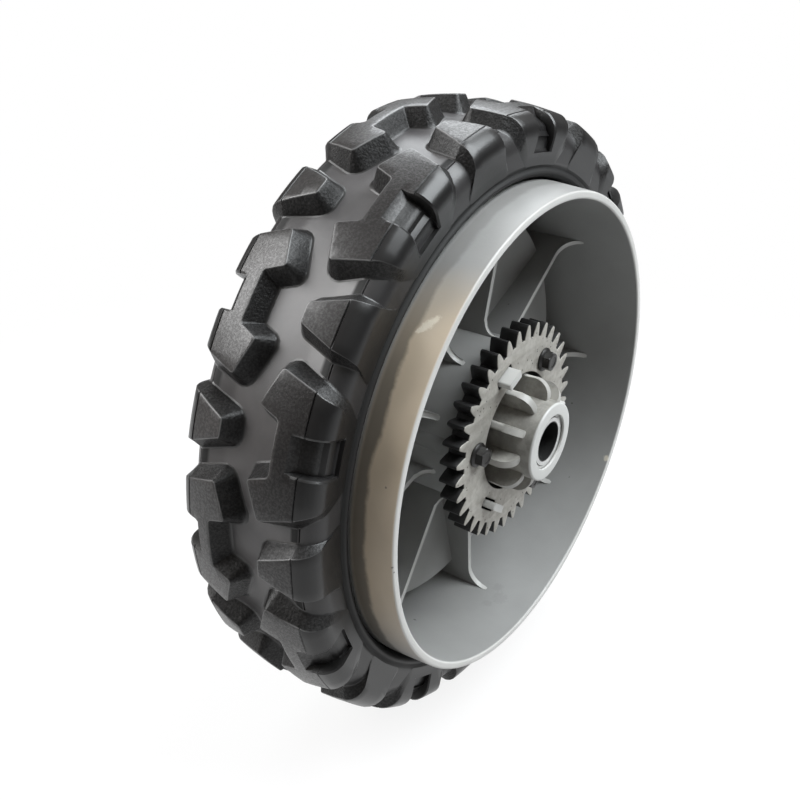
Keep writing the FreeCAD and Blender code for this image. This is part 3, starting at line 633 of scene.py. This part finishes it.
def gearSteel():
    # dark oxide teeth and a pale, worn and pitted face
    f = gearFinishFacts
    material, tree, shader, place = newMaterial("gearSteel")
    face = fade(tree, axesOf(tree, place)["Y"], *f["face"])
    grain = grainOf(tree, place, f)
    mottle = fade(tree, grain["Patches"], *f["mottle"])
    bright = mixColour(tree, mottle, f["dark"], f["light"])
    crowd = fade(tree, noise(tree, place, *f["crowdNoise"]), *f["crowd"])
    pits = placeGroup(tree, scatteredSpots, {"Vector": place, "Bare": crowd, **f["pits"]})["Mask"]
    bright = mixColour(tree, calc(tree, "MULTIPLY", pits, f["pitStrength"]), bright, f["pit"])
    fine = calc(tree, "MULTIPLY", grain["Height"], f["fineHeight"])
    height = calc(tree, "MULTIPLY_ADD", pits, f["pitHeight"], fine)
    setInputs(tree, shader, {
        "Base Color": mixColour(tree, face, f["oxide"], bright), "Normal": bump(tree, height, f),
        "Metallic": calc(tree, "MULTIPLY", face, f["metallic"]),
        "Roughness": fade(tree, mottle, 0.0, 1.0, *f["roughness"]),
    })
    return material


plainFacts = {
    "grain": 1800.0, "patches": 120.0, "shade": (0.8, 1.12), "shadedBoreEdge": (-0.0001, 0.0002),
    "boreShade": 0.06, "roughFrom": -0.07, "roughSpread": 0.15, "bump": 0.1, "bumpDepth": 0.0002,
}
# the last entry of each is the radius of a bore on the axle darkened with painted shade
plainFinishes = {
    "blackScrew": {"colour": (0.010, 0.009, 0.0085, 1), "metallic": 0.0, "roughness": 0.36, "shadedBoreTo": 0.0},
    "bearingSteel": {"colour": (0.62, 0.62, 0.61, 1), "metallic": 0.45, "roughness": 0.32, "shadedBoreTo": 0.0083},
    "shieldSteel": {"colour": (0.60, 0.60, 0.585, 1), "metallic": 0.2, "roughness": 0.4, "shadedBoreTo": 0.0},
    "cagePlastic": {"colour": (0.5, 0.45, 0.33, 1), "metallic": 0.0, "roughness": 0.5, "shadedBoreTo": 0.0},
}


def plainFinish(name):
    f, own = plainFacts, plainFinishes[name]
    material, tree, shader, place = newMaterial(name)
    grain = grainOf(tree, place, f)
    shade = fade(tree, grain["Patches"], *patchCore, *f["shade"])
    # painted shade inside the bore
    if own["shadedBoreTo"]:
        low, high = (own["shadedBoreTo"] + step for step in f["shadedBoreEdge"])
        boreShading = fade(tree, radiusOf(tree, place), low, high, f["boreShade"], 1.0)
        shade = calc(tree, "MULTIPLY", shade, boreShading)
    smoothest = own["roughness"] + f["roughFrom"]
    setInputs(tree, shader, {
        "Base Color": mixColour(tree, 1.0, own["colour"], shade, "MULTIPLY"), "Metallic": own["metallic"],
        "Roughness": calc(tree, "MULTIPLY_ADD", grain["Patches"], f["roughSpread"], smoothest),
        "Normal": bump(tree, grain["Height"], f),
    })
    return material


lugFinish = lugRubber()
carcassFinish = carcassRubber()
rimFinish = rimPlastic()
gearFinish = gearSteel()
screwFinish = plainFinish("blackScrew")
ringFinish = plainFinish("bearingSteel")
sealFinish = plainFinish("shieldSteel")
cageFinish = plainFinish("cagePlastic")
print("finishes made")


# tyre, in millimetres; s is the way over the tread from its middle to the bead

tyreFacts = {
    "count": 9, "turn": 10.0, "parting": 22.4, "shoulderRun": 10.4,
    "crown": 124.85, "crownDrop": 2.3, "topShoulder": (115.0, 28.6), "topRound": 8.0, "foot": (106.5, 27.52),
    "floor": 117.4, "floorRise": 0.9, "flat": 12.0, "floorEdge": 21.0, "floorRound": 8.5,
    "wallRadius": 110.0, "wall": 27.4, "wallStep": 0.62, "lineHalf": 0.4,
}
lugFacts = {
    "cornerRound": 1.4, "edgeRound": 0.7, "edgeSteps": (0, 35, 70), "footRound": 1.25,
    "footSteps": (20, 55, 88), "footOut": 1.05, "roundShare": 0.45, "run": 3.0, "sunk": 0.4,
    "lineDepth": 0.5, "slotSkin": 0.45,
    "narrowFrom": 20.0, "narrowRun": 12.0, "narrowTo": 0.4, "cutAcross": 2, "cutAlong": 5.0,
    "slotFlank": 0.5, "softEdge": 0.4, "edgeRun": 6.0, "edgeLeast": 0.25, "wallRun": 3.0,
}
bigLug = {
    "outline": [(11.0, 41.3), (17.0, 32.8), (21.3, 22.4), (25.5, 9.35), (12.3, 4.1), (9.2, 12.2)],
    "slotHalf": 6.25, "slotWall": 0.4, "slotLip": 0.7, "slotRound": 0.45, "slotShade": 0.9,
    "slotFloor": [(17.2, 125.0), (20.0, 119.9), (24.2, 117.6), (26.0, 113.0), (26.0, 108.6)],
    "slotCuts": [17.2, 20.1, 21.2, 25.0, 29.0], "slotEndCuts": (-0.05, 0.3), "rampEnd": 20.2,
}
wedgeLug = {"outline": [(12.2, 41.3), (10.2, 32.8), (8.5, 22.4), (3.5, 9.2)]}
carcassFacts = {
    "step": 1.2, "turnStep": 1.5, "groove": (0.35, 0.2), "grooveClear": 1.3, "shaded": (19.0, 21.8),
    "slotInset": 0.1, "slotRadius": 112.0, "slotStep": 0.12, "slotClear": 0.4, "underSlot": 0.22,
    # radius, place along the axle and darkness of painted shadow where the tyre meets the rim, down the
    # ridged bead
    "bead": [(105.0, 27.4, 0.0), (104.3, 27.35, 0.0), (103.6, 27.0, 0.6), (102.8, 26.8, 1.0),
             (102.1, 27.2, 1.0), (101.5, 27.8, 0.6), (100.9, 27.9, 0.6), (100.2, 27.6, 1.0),
             (99.6, 27.0, 1.0), (99.1, 26.0, 1.0), (98.7, 24.8, 1.0), (98.15, 23.6, 1.0)],
}
tyreMarks = ("top", "flank", "edge", "line")


def held(value, low, high):
    return min(max(value, low), high)


def arcPoint(start, end, radius, share):
    # a point on the outward arc from start to end, both (r, y)
    a, b = Vector(start), Vector(end)
    chord = b - a
    rise = math.sqrt(max(radius ** 2 - (chord.length / 2) ** 2, 0.0))
    inward = Vector((-abs(chord.y), -abs(chord.x))).normalized()
    centre = (a + b) / 2 + inward * rise
    return tuple(centre + (a - centre).lerp(b - centre, share).normalized() * radius)


def topPoint(s):
    # (r, y) on the outside of the lugs
    t = tyreFacts
    if s <= t["parting"]:
        return t["crown"] - t["crownDrop"] * (s / t["parting"]) ** 2, s
    edge = (t["crown"] - t["crownDrop"], t["parting"])
    if s <= t["parting"] + t["shoulderRun"]:
        return arcPoint(edge, t["topShoulder"], t["topRound"], (s - t["parting"]) / t["shoulderRun"])
    r0, y0 = t["topShoulder"]
    r1, y1 = t["foot"]
    share = (s - t["parting"] - t["shoulderRun"]) / (r0 - r1)
    return r0 + (r1 - r0) * share, y0 + (y1 - y0) * min(share, 1.0)


def floorPoint(s):
    # (r, y) on the carcass between the lugs
    t = tyreFacts
    edge = (t["floor"] + t["floorRise"], t["floorEdge"])
    if s <= t["flat"]:
        return t["floor"], s
    if s <= t["floorEdge"]:
        return t["floor"] + t["floorRise"] * (s - t["flat"]) / (t["floorEdge"] - t["flat"]), s
    last = t["parting"] + t["shoulderRun"]
    if s <= last:
        wall = (t["wallRadius"], t["wall"])
        return arcPoint(edge, wall, t["floorRound"], (s - t["floorEdge"]) / (last - t["floorEdge"]))
    return t["wallRadius"] - (s - last) * t["wallStep"], t["wall"]


def offsetOutline(outline, distance, plan, steps=4, least=0.25, share=0.45):
    # outline of (x, s) pushed outwards, corners rounded with the same number of points each time
    count = len(outline)
    points = [Vector(p) for p in outline]
    following = points[1:] + points[:1]
    area = sum(a.x * b.y - b.x * a.y for a, b in zip(points, following))
    sign = 1 if area > 0 else -1
    lines = []
    for a, b in zip(points, following):
        along = (b - a).normalized()
        lines.append((a + Vector((along.y, -along.x)) * sign * distance, along))
    moved = []
    for index in range(count):
        (a, u), (b, v) = lines[index - 1], lines[index]
        cross = u.x * v.y - u.y * v.x
        moved.append(a + u * (((b - a).x * v.y - (b - a).y * v.x) / cross))
    result = []
    for index, here in enumerate(moved):
        u, v = lines[index - 1][1], lines[index][1]
        convex = (u.x * v.y - u.y * v.x) * sign > 0
        radius = max(plan + distance if convex else plan - distance, least)
        angle = (-u).angle(v)
        reach = min(radius / math.tan(angle / 2), share * (moved[index - 1] - here).length,
                    share * (moved[(index + 1) % count] - here).length)
        result += cornerArc(here, -u, v, angle, reach, steps)
    return result


def lugRings():
    # (outward offset, measured from, amount) from the top's edge down to the foot
    g = lugFacts
    rings = []
    for a in map(math.radians, g["edgeSteps"]):
        rings.append((g["edgeRound"] * (math.sin(a) - 1), "top", g["edgeRound"] * (1 - math.cos(a))))
    for a in map(math.radians, g["footSteps"]):
        out = g["run"] + g["footRound"] * (1 - math.cos(a))
        rings.append((out, "foot", g["footRound"] * (1 - math.sin(a))))
    rings.append((g["run"] + g["footRound"] * g["footOut"], "foot", -g["sunk"]))
    return rings


def slotSpot(s, slotFloor, reach=12):
    # where the slot's floor lies under that place of the lug's top, or nothing outside the slot
    t = tyreFacts
    r, y = topPoint(s)
    lean = held((s - t["parting"]) / t["shoulderRun"], 0.0, 1.0) * math.pi / 2
    inward = Vector((-math.sin(lean), -math.cos(lean)))
    start = Vector((y, r))
    for a, b in zip(slotFloor, slotFloor[1:]):
        spot = intersect_line_line_2d(start, start + inward * reach, Vector(a), Vector(b))
        if spot:
            return spot, inward
    return None, inward


def lugBlank(facts, rings):
    # the lug laid flat: x round the tread, y the way to the bead, z the number of the ring
    g = lugFacts
    outline = facts["outline"] + [(-x, s) for x, s in reversed(facts["outline"])]
    base = offsetOutline(outline, rings[0][0], g["cornerRound"])
    bm = bmesh.new()
    loops = []
    for level, ring in enumerate(rings):
        loop = []
        for inner, point in zip(base, offsetOutline(outline, ring[0], g["cornerRound"])):
            narrow = 1.0 - (1.0 - g["narrowTo"]) * (inner.y - g["narrowFrom"]) / g["narrowRun"]
            spot = inner + (point - inner) * held(narrow, g["narrowTo"], 1.0)
            loop.append(bm.verts.new((spot.x, spot.y, level)))
        loops.append(loop)
    bm.faces.new(loops[0])
    bm.faces.new(list(reversed(loops[-1])))
    for one, two in zip(loops, loops[1:]):
        bridge(bm, one, two)
    return bm


def cutLug(bm, facts):
    # cuts the blank so that it can bend, and along the parting line and the slot
    t, g = tyreFacts, lugFacts
    parting = t["parting"]
    cutsAcross = [g["cutAcross"] * n for n in range(1, 23)]
    cutsAcross += [parting - t["lineHalf"], parting, parting + t["lineHalf"]]
    cutsAlong = [g["cutAlong"] * n for n in range(-6, 7)]
    if "slotHalf" in facts:
        slotHalf = facts["slotHalf"]
        slotInner = slotHalf - facts["slotWall"]
        edges = (slotHalf + facts["slotLip"], slotHalf, slotInner, slotInner - facts["slotShade"])
        cutsAlong += [side * x for side in (-1, 1) for x in edges]
        slotEnd = parting + t["shoulderRun"] + t["topShoulder"][0] - facts["slotFloor"][-1][1]
        cutsAcross += facts["slotCuts"] + [slotEnd + step for step in facts["slotEndCuts"]]
    planes = [((0, cut, 0), (0, 1, 0)) for cut in cutsAcross]
    planes += [((cut, 0, 0), (1, 0, 0)) for cut in cutsAlong]
    for place, facing in planes:
        geometry = bm.verts[:] + bm.edges[:] + bm.faces[:]
        bmesh.ops.bisect_plane(bm, geom=geometry, dist=1e-5, plane_co=place, plane_no=facing)


def lugDepth(rings, level, deep):
    # how far under the lug's top a level lies, between its two nearest rings
    g = lugFacts
    low = int(min(math.floor(level), len(rings) - 2))
    depths = []
    for out, kind, amount in (rings[low], rings[low + 1]):
        rounding = g["edgeRound"] if kind == "top" else g["footRound"]
        amount = amount * min(1.0, g["roundShare"] * deep / rounding)
        depths.append(amount if kind == "top" else deep - amount)
    return depths[0] + (depths[1] - depths[0]) * (level - low)


def bendLug(bm, facts, rings, mirror):
    # wraps the blank round the tyre, sinks the slot and marks tops, flanks, pale edges of wear and painted
    # highlight, and dark lines of painted shade
    t, g = tyreFacts, lugFacts
    parting, shoulder = t["parting"], t["parting"] + t["shoulderRun"]
    slotted = "slotHalf" in facts
    slotInner = facts["slotHalf"] - facts["slotWall"] if slotted else 0.0
    layers = {key: bm.verts.layers.float.new(key) for key in tyreMarks}
    lastTop = len(g["edgeSteps"]) - 1
    lastRing = len(rings) - 1
    for vert in bm.verts:
        x, s, level = vert.co
        s = max(s, 0.0)
        topR, topY = topPoint(s)
        lowR, lowY = floorPoint(s)
        deep = math.hypot(topR - lowR, topY - lowY)
        depth = lugDepth(rings, level, deep)
        onTop = level < lastTop + 0.5
        onLine = level < 1.5 and abs(s - parting) < 0.1
        if onLine:
            depth += g["lineDepth"]
        fall = depth / deep
        r = topR + (lowR - topR) * fall
        y = topY + (lowY - topY) * fall
        inSlot = onLip = False
        spot, inward = slotSpot(s, facts["slotFloor"]) if slotted else (None, None)
        if spot and abs(x) < slotInner + 0.01:
            under = 0.0 if onTop else g["slotSkin"] * (level - lastTop) / (lastRing - lastTop)
            if (Vector((y, r)) - spot).dot(inward) < under:
                y, r = spot + inward * under
                inSlot = onTop
        elif spot and onTop and abs(abs(x) - facts["slotHalf"]) < 0.05:
            onLip = (Vector((y, r)) - spot).dot(inward) < -facts["slotRound"]
            if onLip:
                y, r = Vector((y, r)) + inward * facts["slotRound"]
        vert.co = onWheel(r, mirror * y, math.degrees(math.asin(held(x / topR, -1.0, 1.0))))
        onRamp = inSlot and s < facts["rampEnd"]
        vert[layers["top"]] = 1.0 if level < 0.5 and s < parting + 0.2 and (onRamp or not inSlot) else 0.0
        # flank and edge marks end a little way down the side wall
        onWall = held((shoulder + g["wallRun"] - s) / g["wallRun"], 0.0, 1.0)
        onFlank = lastTop - 0.5 < level < lastTop + 1.5
        flank = 1.0 if onFlank else g["slotFlank"] if inSlot and not onRamp else 0.0
        vert[layers["flank"]] = flank * onWall
        onFoot = abs(level - lastRing + 1) < 0.5
        # the edge mark gives a pale colour, wear and a painted highlight, fully on the rounded top edge and
        # more softly on the slot's lip and the foot
        edge = 1.0 if 0.5 <= level < lastTop - 0.5 else g["softEdge"] if onLip or onFoot else 0.0
        vert[layers["edge"]] = edge * onWall * held(1.0 - (s - parting) / g["edgeRun"], g["edgeLeast"], 1.0)
        slotFoot = inSlot and abs(x) > slotInner - 0.05
        # dark mark: painted shade at the foot of the slot walls and in the parting-line groove
        vert[layers["line"]] = 1.0 if slotFoot or onLine and not inSlot else 0.0


def lugMesh(name, facts, mirror):
    rings = lugRings()
    bm = lugBlank(facts, rings)
    cutLug(bm, facts)
    bendLug(bm, facts, rings, mirror)
    return finishMesh(name, bm)


def carcassProfile():
    # (r, y, darkness of painted shade) from one bead over the tread to the other
    t, c = tyreFacts, carcassFacts
    parting, last = t["parting"], t["parting"] + t["shoulderRun"]
    clear = t["lineHalf"] * c["grooveClear"]
    even = [n * c["step"] for n in range(int(last / c["step"]) + 1)]
    stations = [s for s in even if abs(s - parting) > clear and s < last]
    right = []
    for s in sorted(stations + [parting - t["lineHalf"], parting, parting + t["lineHalf"], last]):
        r, y = floorPoint(s)
        # painted shade in a strip beside the parting line, and in the parting groove itself
        dark = 1.0 if c["shaded"][0] < s < c["shaded"][1] else 0.0
        if s == parting:
            r, y, dark = r - c["groove"][0], y - c["groove"][1], 1.0
        right.append((r, y, dark))
    right += c["bead"]
    left = [(r, -y, dark) for r, y, dark in reversed(right)]
    return left[:-1] + right


def slotDent(r, y, slotFloor):
    # the carcass lies a little under the floor of a slot that runs down the side
    for (y0, r0), (y1, r1) in zip(slotFloor[1:], slotFloor[2:]):
        if r1 <= r <= r0:
            limit = y0 + (y1 - y0) * (r0 - r) / (r0 - r1) - carcassFacts["underSlot"]
            return math.copysign(min(abs(y), limit), y)
    return y


def turnBetween(a, b):
    return abs((a - b + 180) % 360 - 180)


def carcassMesh():
    t, c = tyreFacts, carcassFacts
    profile = carcassProfile()
    pitch = 360.0 / t["count"]
    middles = {-1: [t["turn"] + pitch * n for n in range(t["count"])],
               1: [t["turn"] + pitch * (n + 0.5) for n in range(t["count"])]}
    window = math.degrees((bigLug["slotHalf"] - c["slotInset"]) / c["slotRadius"])
    steps = (-window - c["slotStep"], -window, window, window + c["slotStep"])
    edges = [middle + step for side in middles for middle in middles[side] for step in steps]
    even = [n * c["turnStep"] for n in range(int(360 / c["turnStep"]))]
    angles = [a for a in even if min(turnBetween(a, e) for e in edges) > c["slotClear"]]
    bm = bmesh.new()
    layers = {key: bm.verts.layers.float.new(key) for key in tyreMarks}
    rings = []
    for angle in sorted(angles + [e % 360 for e in edges]):
        inside = {side: min(turnBetween(angle, m) for m in middles[side]) < window + 0.01 for side in middles}
        ring = []
        for r, y, dark in profile:
            if inside[1 if y > 0 else -1]:
                y = slotDent(r, y, bigLug["slotFloor"])
            vert = bm.verts.new(onWheel(r, y, angle))
            vert[layers["line"]] = dark
            ring.append(vert)
        rings.append(ring)
    for one, two in zip(rings, rings[1:] + rings[:1]):
        bridge(bm, one, two)
    return finishMesh("tyreCarcass", bm)


carcass = makeObject("tyreCarcass", carcassMesh(), carcassFinish, 50)
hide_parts("tyre")
print("carcass", len(carcass.data.polygons), "faces")

halfPitch = 180.0 / tyreFacts["count"]
lugSets = {
    "inboardLugs": (bigLug, -1, 0.0), "inboardWedges": (wedgeLug, -1, halfPitch),
    "outboardLugs": (bigLug, 1, halfPitch), "outboardWedges": (wedgeLug, 1, 0.0),
}
for name, (facts, side, start) in lugSets.items():
    single = lugMesh(name + "Single", facts, side)
    copies = radialCopies(name, single, tyreFacts["count"], tyreFacts["turn"] + start, lugFinish)
    makeObject(name, copies, lugFinish, 32)
    print(name, len(copies.polygons), "faces")


# rim; the section's corners are (r, y, rounding)

rimSection = [
    (97.0, -43.7, 0.9), (98.0, -27.2, 0.2), (98.0, 29.5, 0.8), (81.0, 29.5, 1.2), (81.0, 0.3, 2.5),
    (30.5, 7.1, 1.5), (30.5, -23.7, 1.0), (17.5, -23.7, 1.0), (17.5, 22.0, 0.8), (14.02, 22.0, 0.4),
    (14.02, -48.8, 0.0), (11.3, -48.8, 0.0), (11.3, -49.8, 0.3), (16.1, -49.8, 0.7), (16.1, -26.7, 0.8),
    (34.0, -26.7, 0.7), (34.0, 3.9, 2.0), (84.0, -2.9, 0.8), (84.0, 26.3, 1.0), (92.9, 26.3, 1.0),
    (93.8, -43.7, 0.9),
]
rimFacts = {"steps": 5, "segments": 240}
ribFacts = {
    "count": 9, "turn": 15.4, "thick": 2.4, "edge": 0.5, "edgeSteps": 3,
    "hubArc": ((-17.7, 40.0), 6.0, -90, 0, 8), "drumArc": ((-20.7, 84.5), 9.0, 0, 90, 10),
    "buried": [(-20.7, 95.2), (27.5, 95.2), (27.5, 82.5), (-1.1, 82.5), (5.5, 32.2), (-17.7, 32.2)],
}
finFacts = {
    "count": 10, "turn": -22.0, "thick": 3.0, "edge": 1.1, "edgeSteps": 5, "corner": 6.5,
    "root": 14.9, "top": 23.6, "from": -25.2, "to": -45.5,
}
pegFacts = {
    "count": 3, "turn": -22.0, "thick": 9.0, "edge": 0.9, "edgeSteps": 4,
    "radii": (30.0, 33.0), "from": -25.2, "to": -39.3,
}
bossFacts = {
    "count": 3, "turn": 38.0, "circle": 30.7, "radius": 4.6, "from": -25.2, "to": -7.7,
    "edge": 0.6, "edgeSteps": (0, 30, 60, 90), "sides": 48,
}


def ribMesh():
    f = ribFacts
    return plateMesh("rib", arcRun(*f["hubArc"]) + arcRun(*f["drumArc"]) + f["buried"], f)


def finMesh():
    f = finFacts
    centre = (f["to"] + f["corner"], f["top"] - f["corner"])
    outline = [(f["from"], f["root"]), (f["from"], f["top"])]
    outline += arcRun(centre, f["corner"], 90, 180, 10) + [(f["to"], f["root"])]
    return plateMesh("fin", outline, f)


def pegMesh():
    f = pegFacts
    low, high = f["radii"]
    # the whole peg takes the pale edge colour, partly a painted highlight
    return plateMesh("peg", [(f["from"], low), (f["from"], high), (f["to"], high), (f["to"], low)], f, True)


def bossMesh():
    # the plain post behind the hub flange that one gear screw runs into
    b = bossFacts
    ends = [(b["radius"], b["from"])]
    for a in map(math.radians, b["edgeSteps"]):
        ends.append((b["radius"] - b["edge"] * (1 - math.cos(a)), b["to"] - b["edge"] * (1 - math.sin(a))))
    bm = bmesh.new()
    ringStack(bm, [postRing(b, radius, y) for radius, y in ends])
    return finishMesh("boss", bm)


shellMesh = latheMesh("rimShell", roundedLine(rimSection, rimFacts["steps"]), rimFacts["segments"])
shell = makeObject("rimShell", shellMesh, rimFinish)
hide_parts("wheel_rim")
rimPieces = {
    "rimRibs": (ribMesh(), ribFacts), "hubFins": (finMesh(), finFacts), "gearPegs": (pegMesh(), pegFacts),
    "screwBosses": (bossMesh(), bossFacts),
}
for name, (single, facts) in rimPieces.items():
    copies = radialCopies(name, single, facts["count"], facts["turn"], rimFinish)
    makeObject(name, copies, rimFinish)
print("rim made")


# drive gear

gearFacts = {
    "teeth": 36, "turn": 1.7, "tip": 44.6, "tipHalf": 0.4, "hole": 24.6, "holeSteps": 96,
    # radius and half the gap there, from a tooth's root to its tip
    "toothSide": [(39.0, 1.1), (40.74, 1.6), (42.14, 2.1), (43.44, 2.63), (44.35, 3.15)],
    "seat": 26.7, "thick": 7.8, "chamfer": 0.3,
    "slotTurn": -22.0, "slotWide": 10.8, "slotRadii": (29.1, 33.9), "slotRound": 1.0,
    "screwTurn": 38.0, "screwCircle": 30.7, "screwHole": 2.75, "screwSteps": 24,
}


def gearSplines():
    g = gearFacts
    rim = []
    halfTurn = math.pi / g["teeth"]
    for tooth in range(g["teeth"]):
        middle = math.radians(g["turn"] + (tooth + 0.5) * 360.0 / g["teeth"])
        side = [(radius, halfTurn - gap / radius) for radius, gap in g["toothSide"]]
        side.append((g["tip"], g["tipHalf"] / g["tip"]))
        rim += [(radius, middle - turn) for radius, turn in side]
        rim += [(radius, middle + turn) for radius, turn in reversed(side)]
    splines = [[(radius * math.sin(turn), radius * math.cos(turn)) for radius, turn in rim]]
    splines.append([(g["hole"] * math.sin(a), g["hole"] * math.cos(a)) for a in spokesOf(g["holeSteps"])])
    wide = g["slotWide"] / 2
    low, high = g["slotRadii"]
    box = [(x, y, g["slotRound"]) for x, y in ((-wide, low), (wide, low), (wide, high), (-wide, high))]
    for third in range(3):
        turn = math.radians(g["slotTurn"] + 120 * third)
        across, out = Vector((math.cos(turn), -math.sin(turn))), Vector((math.sin(turn), math.cos(turn)))
        splines.append([tuple(across * x + out * y) for x, y in roundedLine(box)])
        turn = math.radians(g["screwTurn"] + 120 * third)
        centre = (g["screwCircle"] * math.sin(turn), g["screwCircle"] * math.cos(turn))
        lastStep = 360 - 360 / g["screwSteps"]
        splines.append(arcRun(centre, g["screwHole"], 0, lastStep, g["screwSteps"] - 1))
    return splines


def gearMesh():
    # a flat filled curve with a bevelled edge, made a mesh and turned to face along the axle
    g = gearFacts
    curve = bpy.data.curves.new("gearOutline", "CURVE")
    curve.dimensions = "2D"
    curve.fill_mode = "BOTH"
    curve.bevel_depth = g["chamfer"]
    curve.bevel_resolution = 1
    curve.offset = -g["chamfer"]
    curve.extrude = g["thick"] / 2 - g["chamfer"]
    for points in gearSplines():
        spline = curve.splines.new("POLY")
        spline.points.add(len(points) - 1)
        spline.use_cyclic_u = True
        for target, (x, y) in zip(spline.points, points):
            target.co = (x, y, 0, 1)
    flat = bpy.data.objects.new("gearOutline", curve)
    scene.collection.objects.link(flat)
    raw = bpy.data.meshes.new_from_object(flat.evaluated_get(bpy.context.evaluated_depsgraph_get()))
    bpy.data.objects.remove(flat)
    bm = bmesh.new()
    bm.from_mesh(raw)
    bmesh.ops.remove_doubles(bm, verts=bm.verts, dist=0.001)
    for vert in bm.verts:
        x, z, y = vert.co
        vert.co = (x * mm, (y - g["seat"] - g["thick"] / 2) * mm, z * mm)
    return finishMesh("driveGear", bm)


gear = makeObject("driveGear", gearMesh(), gearFinish, 25)
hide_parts("drive_gear")
print("gear", len(gear.data.polygons), "faces")


# gear screws

screwFacts = {
    "count": 3, "turn": 38.0, "circle": 30.7, "sides": 36, "shank": 2.4, "shankEnd": -12.5,
    "seat": -34.5, "pressed": 0.02, "flange": 4.9, "flangeWall": 1.5, "flangeTop": (3.8, 1.0),
    "flangeSide": [(0.15, -0.02), (0.0, 0.2), (0.0, 0.7), (0.2, 0.95)],  # less than its radius, over its seat
    "flats": 7.0, "head": 4.4, "headSunk": 0.3, "headMost": 9,
    "headSide": [(0.5, 9), (0.1, 3.62), (0.0, 3.35)],  # under the head's end, largest radius there
    "dish": [(2.4, 0.0), (2.0, 0.25), (0.6, 0.3)],  # radius, under the head's end
}


def screwMesh():
    s = screwFacts

    def hexagon(y, most):
        ring = []
        for a in spokesOf(s["sides"]):
            radius = min(s["flats"] / 2 / math.cos((a % (math.pi / 3)) - math.pi / 6), most)
            ring.append((radius * math.cos(a), y, s["circle"] + radius * math.sin(a)))
        return ring

    bm = bmesh.new()
    seat, end = s["seat"], s["seat"] - s["head"]
    top = seat - s["flangeWall"]
    rings = [postRing(s, s["shank"], y) for y in (s["shankEnd"], seat + s["pressed"])]
    rings += [postRing(s, s["flange"] - less, seat - up) for less, up in s["flangeSide"]]
    ringStack(bm, rings + [postRing(s, radius, top) for radius in s["flangeTop"]])
    rings = [hexagon(top + s["headSunk"], s["headMost"])]
    rings += [hexagon(end + down, most) for down, most in s["headSide"]]
    ringStack(bm, rings + [postRing(s, radius, end + down) for radius, down in s["dish"]])
    return finishMesh("screw", bm)


screws = radialCopies("gearScrews", screwMesh(), screwFacts["count"], screwFacts["turn"], screwFinish)
screwSet = makeObject("gearScrews", screws, screwFinish, 30)
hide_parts("gear_screws")
print("screws made")


# bearing parts and spacer keep their CAD shape

finishes = {
    "bearing_spacer": ringFinish, "outer_ring": ringFinish, "inner_ring": ringFinish, "cage": cageFinish,
    "balls": ringFinish, "seal": sealFinish,
}
for name, node in nodes.items():
    for ending, finish in finishes.items():
        if name.endswith(ending):
            node.data.materials.clear()
            node.data.materials.append(finish)
print("bearing parts finished")
